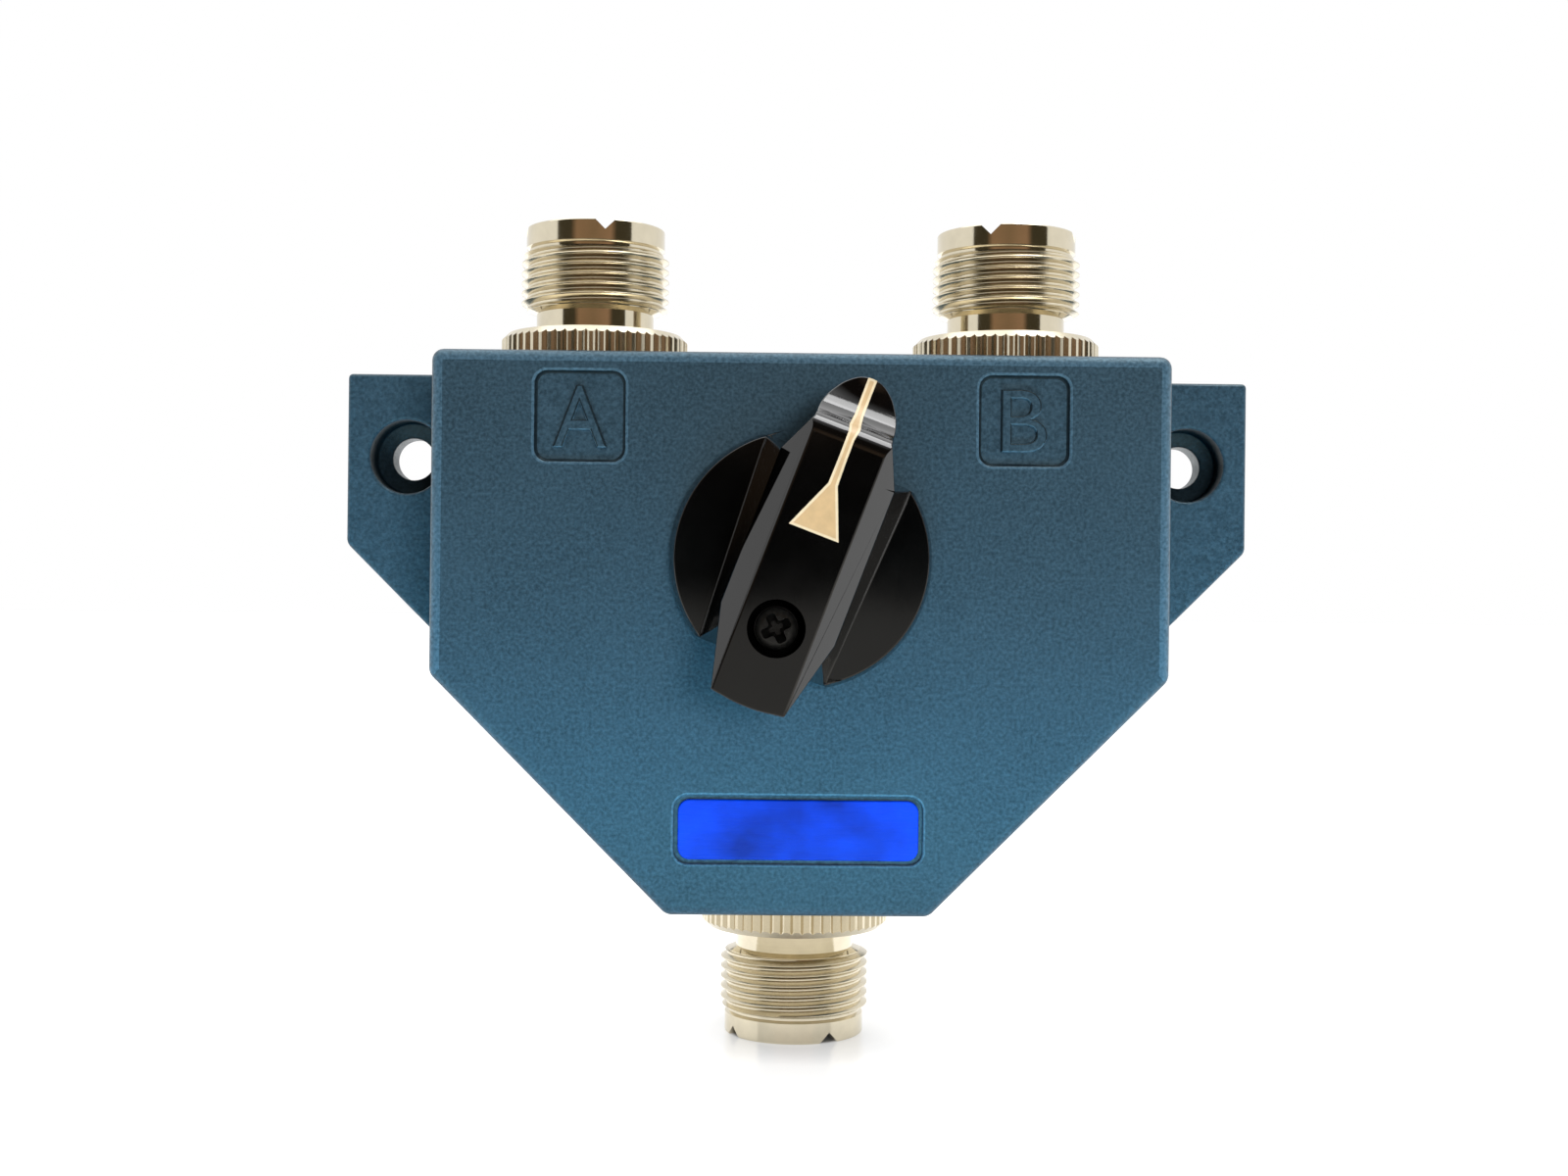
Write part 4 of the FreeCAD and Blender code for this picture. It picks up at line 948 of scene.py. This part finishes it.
def bar_shape(knob):
    """The grip: where its plan, its cross-section and its side view meet."""
    high, half, root = knob.high, knob.bar_half, knob.nose_root
    plan = prism(both_sides([
        (0, -knob.tail_reach - 0.52 * MM), (3.6 * MM, -knob.tail_reach), (half, -6.7 * MM),
        (half, 8.7 * MM), (3.8 * MM, root), (3.8 * MM, root + 2.3 * MM),
        (2.15 * MM, knob.nose_tip - 0.75 * MM), (0, knob.nose_tip + 0.2 * MM)]), -high - MM, MM)
    round_edges(plan, 1.15 * MM, lambda edge: upright(edge) and middle(edge).z > root + MM, 6)
    round_edges(plan, 1.7 * MM, lambda edge: (
        upright(edge) and middle(edge).z < -knob.tail_reach - 0.01 * MM), 6)
    section = prism([(-knob.flat_half, -high), (knob.flat_half, -high),
                     (half, knob.flat_drop - high), (half, MM), (-half, MM),
                     (-half, knob.flat_drop - high)], -40 * MM, 40 * MM, "Z")
    side = prism([(-high, -40 * MM), *mm((-9, -40), (-9, -15.3), (-5.5, -9), (-5.5, 9),
                                         (-8, 18.65), (-11.2, 18.65)),
                  (knob.step - high, root + 0.6 * MM), (-high, root)],
                 -10 * MM, 10 * MM, "X")
    round_edges(side, 1.5 * MM, lambda edge: (
        abs(middle(edge).z - root) < NEAR and middle(edge).y < -high + NEAR), 8)
    scoop = drum(knob.scoop, -9 * MM, 9 * MM, 180)
    scoop.transform(Matrix.Translation((0, -15.53 * MM, 18.04 * MM))
                    @ Matrix.Rotation(math.pi / 2, 4, "Y"))
    bar = solid(crossed(plan, section, side), "bar")
    return shape_of(carve(bar, scoop))


def knob_blank(knob, bar):
    """The bar with the waist that carries it and the skirt, cut straight under nose and tail."""
    rim, top = knob.skirt / 2, knob.skirt_high
    neck = knob.bar_half - 0.06 * MM
    waist = solid(loft(
        both_sides(mm((6.65, -11.1), (6.81, -8), (7.75, 10.34))),
        both_sides([(neck - 0.54 * MM, -8.7 * MM), (neck, -6.7 * MM), (neck, 8.6 * MM)]),
        0.8 * MM - top, knob.flat_drop - knob.high), "waist")
    carve(waist, rod(0, 0, knob.skirt - 0.92 * MM, -knob.high, 0, 144), "INTERSECT")
    low = solid(towards_front(lathe([
        (0, 0.3 * MM), (rim - 0.1 * MM, 0.3 * MM), (rim, 0.4 * MM), (rim, 1.2 * MM),
        (rim - 0.42 * MM, top), (0, top)], 144)), "skirt")
    carve(low, shape_of(waist), "UNION")
    for near, far in ((10.2 * MM, 30 * MM), (-30 * MM, -10.9 * MM)):
        carve(low, prism([(-rim - MM, near), (rim + MM, near), (rim + MM, far), (-rim - MM, far)],
                         -knob.high, MM))
    blank = solid(bar.copy(), "blank")
    return shape_of(carve(blank, shape_of(low), "UNION"))


class SWITCH_OT_knob(bpy.types.Operator):
    """Mould the pointer knob from its bar, waist and skirt, and fill its groove with the pointer"""
    bl_idname = "switch.knob"
    bl_label = "Knob and pointer"

    def execute(self, context):
        knob = context.scene.switch_knob
        finish = context.scene.switch_finish
        high = knob.high
        bar = bar_shape(knob)
        thing = solid(welded(flattened(knob_blank(knob, bar)), 0.06 * MM), "black_knob")
        carve(thing, rod(0, -knob.clamp_reach, 2.6 * MM, -high - MM, MM))
        carve(thing, rod(0, 0, 8.1 * MM, -7.35 * MM, MM, 64))
        blank = round_edges(shape_of(thing), knob.edge, lambda edge: sharp(edge, 18), 3, False)

        arrow = prism(mm((-2.45, 2.3), (2.45, 2.3), (0.5, 7.1), (0.42, 9.6), (0.4, 11.6),
                         (0.6, 12.6), (0.46, 14.2), (0.47, 24), (-0.45, 24), (-0.4, 14.2),
                         (-0.55, 13), (-0.4, 12.2), (-0.38, 9.6), (-0.42, 7.1)),
                      -high - MM, -6 * MM)
        sunk = solid(arrow.copy(), "groove")
        lowered = moved(bar.copy(), y=0.3 * MM)
        carve(sunk, lowered.copy())
        filled = solid(arrow, "pointer")
        carve(filled, moved(bar, y=-0.03 * MM), "INTERSECT")
        carve(filled, lowered)

        thing = solid(blank, "black_knob")
        floor = high - 3.1 * MM
        carve(thing, towards_front(lathe([
            (0, floor), (2.03 * MM, floor), (2.7 * MM, floor - MM), (2.7 * MM, high + MM),
            (0, high + MM)], 72), 0, 0, -knob.clamp_reach))
        carve(thing, shape_of(sunk))
        finished(solid(on_box(shape_of(thing)), "black_knob"), [black_finish(finish)], "knob_black",
                 "selector", "knob", crease=30)

        pointer = flattened(welded(shape_of(filled)))
        pointer.normal_update()
        rim = bmesh.ops.inset_region(pointer, faces=[
            face for face in pointer.faces if face.normal.y < -0.1], thickness=0.24 * MM,
            depth=-0.05 * MM, use_even_offset=True, use_boundary=True)["faces"]
        for face in rim:
            face.material_index = 1
        finished(solid(on_box(pointer), "ivory_pointer"), [
            inlay_finish("inlay_tan", finish.tan), inlay_finish("inlay_cream", finish.cream)],
            "ivory", "selector", "pointer_inlay", crease=30)
        return {"FINISHED"}


class SWITCH_OT_knob_screw(bpy.types.Operator):
    """Turn the black clamping screw with its domed head and its rounded cross"""
    bl_idname = "switch.knob_screw"
    bl_label = "Knob screw"

    def execute(self, context):
        knob = context.scene.switch_knob
        top = knob.high - 1.5 * MM
        screw = solid(towards_front(lathe([
            (0, -0.27 * MM), (1.25 * MM, -0.27 * MM), (1.25 * MM, top - 1.6 * MM),
            (1.98 * MM, top - 1.6 * MM), (2 * MM, top - 1.55 * MM), (2 * MM, top - 0.5 * MM),
            (1.9 * MM, top - 0.26 * MM), (1.66 * MM, top - 0.1 * MM), (1.2 * MM, top - 0.02 * MM),
            (0, top)], 72), 0, 0, -knob.clamp_reach), "screw")
        cross = cross_tool(3.1 * MM, MM, 2.4 * MM)
        cross.transform(Matrix.Translation((0, -top, -knob.clamp_reach))
                        @ Matrix.Rotation(math.radians(43), 4, "Y"))
        carve(screw, cross)
        finished(solid(on_box(shape_of(screw)), "black_screw"), [screw_finish()], "black_steel",
                 "selector", "knob_screw", crease=35)
        return {"FINISHED"}


# ---------------------------------------------------------------- inner pieces and stage

class SWITCH_OT_inner_parts(bpy.types.Operator):
    """Give the contacts, insulators, straps, rotor and detent their finishes"""
    bl_idname = "switch.inner_parts"
    bl_label = "Inner parts"

    def execute(self, context):
        brass = metal_finish("drawn_brass", (0.62, 0.42, 0.14), (0.78, 0.57, 0.24), 0.22)
        silver = metal_finish("silvered_brass_skin", (0.72, 0.66, 0.52), (0.88, 0.83, 0.7), 0.2,
                              0.2)
        steel = metal_finish("drawn_steel", (0.4, 0.39, 0.37), (0.58, 0.57, 0.55), 0.25)
        white = plastic_finish("white_ptfe", (0.78, 0.77, 0.72), (0.88, 0.87, 0.83), 0.32, 0.2)
        natural = plastic_finish("natural_acetal", (0.72, 0.7, 0.62), (0.82, 0.8, 0.72), 0.38, 0.1)
        for name, thing in frame["nodes"].items():
            material = steel
            if "insulator" in name:
                material = white
            elif "contact" in name:
                material = silver
            elif name == "rotor":
                material = natural
            elif "strap" in name or name in ("moving_blade", "pivot_rivet"):
                material = brass
            for slot in thing.material_slots:
                slot.material = material
        return {"FINISHED"}


class SWITCH_OT_stage(bpy.types.Operator):
    """Set up the floor, the soft lamps, the dark card behind the camera and the camera"""
    bl_idname = "switch.stage"
    bl_label = "Stage"

    def floor(self, low):
        """A white table that glows where it is seen, but not beneath the common port, and glows
        less close round the port as a painted shadow.
        """
        bm = bmesh.new()
        bmesh.ops.create_grid(bm, x_segments=1, y_segments=1, size=3)
        floor = solid(moved(bm, z=low), "floor")
        material, tree, shader = new_finish("white_table")
        feed(tree, shader, Base_Color=(0.6, 0.6, 0.6, 1), Roughness=0.22)
        away = node(tree, "ShaderNodeVectorMath", {0: own_place(tree), 1: (0, -0.016, low)},
                    operation="DISTANCE")
        share = maths(tree, "MULTIPLY", away.outputs["Value"], 10.0)
        # No glow beneath the port, 0.46 at its rim, rising to 0.7 and 0.8 further out: the dimmer
        # ring round the port is a painted shadow.
        level = between(tree, share, (0.068, grey(0)), (0.074, grey(0.46)), (0.16, grey(0.7)),
                        (0.7, grey(0.8)))
        glow = node(tree, "ShaderNodeEmission", {"Color": level})
        lit = node(tree, "ShaderNodeAddShader", {0: shader.outputs[0], 1: glow.outputs[0]})
        pick = node(tree, "ShaderNodeMixShader", {0: seen_directly(tree), 1: shader.outputs[0],
                                                  2: lit.outputs[0]})
        plug(tree, tree.nodes["Material Output"], {"Surface": pick.outputs[0]})
        floor.data.materials.append(material)

    def card(self, low):
        """A card round the front that only reflections show: a dim room with a pale ceiling."""
        bm = bmesh.new()
        near, far, roof = low + 0.5 * MM, -0.85, 0.95
        rail = [bm.verts.new(place) for place in (
            (0, -0.045, near), (0, far, near), (0, far, 0.62), (0, far / 2, roof))]
        rail += [bm.edges.new(ends) for ends in zip(rail, rail[1:])]
        bmesh.ops.rotate(bm, verts=bm.verts, cent=(0, 0, 0),
                         matrix=Matrix.Rotation(math.radians(-61), 3, "Z"))
        bmesh.ops.spin(bm, geom=rail, cent=(0, 0, 0), axis=(0, 0, 1), angle=math.radians(125),
                       steps=24)
        card = solid(bm, "dark_card")
        material, tree, _ = new_finish("room_behind_camera")
        place = own_place(tree)
        split = node(tree, "ShaderNodeSeparateXYZ", {"Vector": place}).outputs
        share = ranged(tree, split["X"], far, -far)
        # The card glows as a painted reflection: a dim brown room round the front, a pale ceiling
        # above, and a strip of table by the floor that is brightest a little way off and darker
        # right at the switch and far away, as painted shade.
        dim = (0.06, 0.05, 0.03)
        around = between(tree, share, (0.06, dim), (0.2, dim), (0.27, (0.32, 0.2, 0.12)),
                         (0.5, (0.26, 0.17, 0.1)), (0.73, (0.34, 0.21, 0.13)), (0.8, dim))
        up = ranged(tree, split["Z"], near, roof)
        shine = between(tree, up, (0.05, grey(0)), (0.12, grey(0.02)), (0.175, grey(1)),
                        (0.32, grey(0.9)), (0.5, grey(0.12)))
        room = blend(tree, 1.0, around, shine, "MULTIPLY")
        reach = node(tree, "ShaderNodeVectorMath", {0: place}, operation="LENGTH")
        top = between(tree, reach.outputs["Value"], (0.08, (0.8, 0.75, 0.62)),
                      (0.12, (1.05, 1, 0.92)), (0.3, (0.7, 0.67, 0.61)), (0.6, (0.42, 0.4, 0.37)))
        table = between(tree, up, (0.034, grey(1)), (0.046, grey(0)))
        ceiling = between(tree, up, (0.8, grey(0)), (0.99, grey(1)))
        colour = blend(tree, ceiling, blend(tree, table, room, top), (1, 1, 1, 1))
        glow = node(tree, "ShaderNodeEmission", {"Color": colour, "Strength": 1.0})
        plug(tree, tree.nodes["Material Output"], {"Surface": glow.outputs[0]})
        card.data.materials.append(material)
        card.visible_camera = card.visible_diffuse = card.visible_shadow = False
        card.visible_transmission = card.visible_volume_scatter = False

    def lamps(self, scene):
        """Soft lamps, of which only those named softbox show in reflections."""
        aim, white = Vector((0, -0.016, -0.02)), (1, 1, 1)
        for name, spot, size, power, shade, spread in (
                ("key_softbox", (0.26, -0.1, 0.68), (0.3, 0.3), 1.8, white, 180),
                ("top_softbox", (-0.1, 0.1, 0.75), (1.2, 0.8), 3.0, white, 180),
                ("left_side", (-0.6, 0.02, 0), (0.3, 0.3), 0.6, white, 180),
                ("right_side", (0.6, 0.02, 0), (0.3, 0.3), 0.6, white, 180),
                ("rear_fill", (-0.25, 0.7, 0.25), (0.5, 0.5), 3.5, white, 180),
                ("front_fill", (0.15, -0.7, 0.03), (0.14, 0.14), 3.0, white, 180),
                ("table_bounce", (0, -0.06, -0.055), (0.3, 0.02), 0.048, (0.1, 0.7, 1), 80)):
            lamp = bpy.data.lights.new(name, "AREA")
            lamp.shape = "RECTANGLE"
            lamp.size, lamp.size_y = size
            lamp.energy, lamp.color, lamp.spread = power, shade, math.radians(spread)
            thing = bpy.data.objects.new(name, lamp)
            thing.location = spot
            thing.rotation_euler = (aim - Vector(spot)).to_track_quat("-Z", "Y").to_euler()
            thing.visible_camera = False
            thing.visible_glossy = "softbox" in name
            scene.collection.objects.link(thing)

    def surroundings(self, scene, ambient):
        """White where it is seen, and a low even light otherwise."""
        world = bpy.data.worlds.new("white_room")
        world.use_nodes = True
        tree = world.node_tree
        plug(tree, tree.nodes["Background"], {
            "Strength": ranged(tree, seen_directly(tree), 0.0, 1.0, ambient, 1.0),
            "Color": (1, 1, 1, 1)})
        scene.world = world

    def camera(self, scene, stage):
        camera = bpy.data.cameras.new("camera")
        camera.lens = stage.lens
        camera.clip_start, camera.clip_end = 0.01, 20
        eye = bpy.data.objects.new("camera", camera)
        eye.location = stage.eye
        eye.rotation_euler = (Matrix.Rotation(math.radians(-0.62), 3, "Z")
                              @ Matrix.Rotation(math.radians(90.1), 3, "X")
                              @ Matrix.Rotation(0.0105, 3, "Z")).to_euler()
        scene.collection.objects.link(eye)
        scene.camera = eye

    def execute(self, context):
        scene, stage = context.scene, context.scene.switch_stage
        floor_up = CAD_BOX[0].z
        self.floor(floor_up)
        self.card(floor_up)
        self.lamps(scene)
        self.surroundings(scene, stage.ambient)
        self.camera(scene, stage)
        scene.view_settings.view_transform = "Standard"
        return {"FINISHED"}


class SWITCH_PT_pieces(bpy.types.Panel):
    bl_idname = "SWITCH_PT_pieces"
    bl_label = "Antenna Switch"
    bl_space_type = "VIEW_3D"
    bl_region_type = "UI"
    bl_category = "Antenna Switch"

    def draw(self, context):
        for operator in OPERATORS:
            self.layout.operator(operator.bl_idname)
        for name in GROUPS:
            group = getattr(context.scene, name)
            part = self.layout.box()
            for key in group.__annotations__:
                part.prop(group, key)


GROUPS = {"switch_box": SwitchBox, "switch_ports": SwitchPorts, "switch_knob": SwitchKnob,
          "switch_finish": SwitchFinish, "switch_stage": SwitchStage}
OPERATORS = (SWITCH_OT_housing, SWITCH_OT_letters, SWITCH_OT_badge_plate, SWITCH_OT_rear_cover,
             SWITCH_OT_port_shells, SWITCH_OT_knurled_rings, SWITCH_OT_knob, SWITCH_OT_knob_screw,
             SWITCH_OT_inner_parts, SWITCH_OT_stage)


def register():
    for group in (*GROUPS.values(), *OPERATORS, SWITCH_PT_pieces):
        bpy.utils.register_class(group)
    for name, group in GROUPS.items():
        setattr(bpy.types.Scene, name, PointerProperty(type=group))


def unregister():
    for name in GROUPS:
        delattr(bpy.types.Scene, name)
    for group in reversed((*GROUPS.values(), *OPERATORS, SWITCH_PT_pieces)):
        bpy.utils.unregister_class(group)


def main():
    register()
    bpy.ops.switch.housing()
    bpy.ops.switch.letters()
    bpy.ops.switch.badge_plate()
    bpy.ops.switch.rear_cover()
    bpy.ops.switch.port_shells()
    bpy.ops.switch.knurled_rings()
    bpy.ops.switch.knob()
    bpy.ops.switch.knob_screw()
    bpy.ops.switch.inner_parts()
    bpy.ops.switch.stage()


if __name__ == "__main__":
    main()
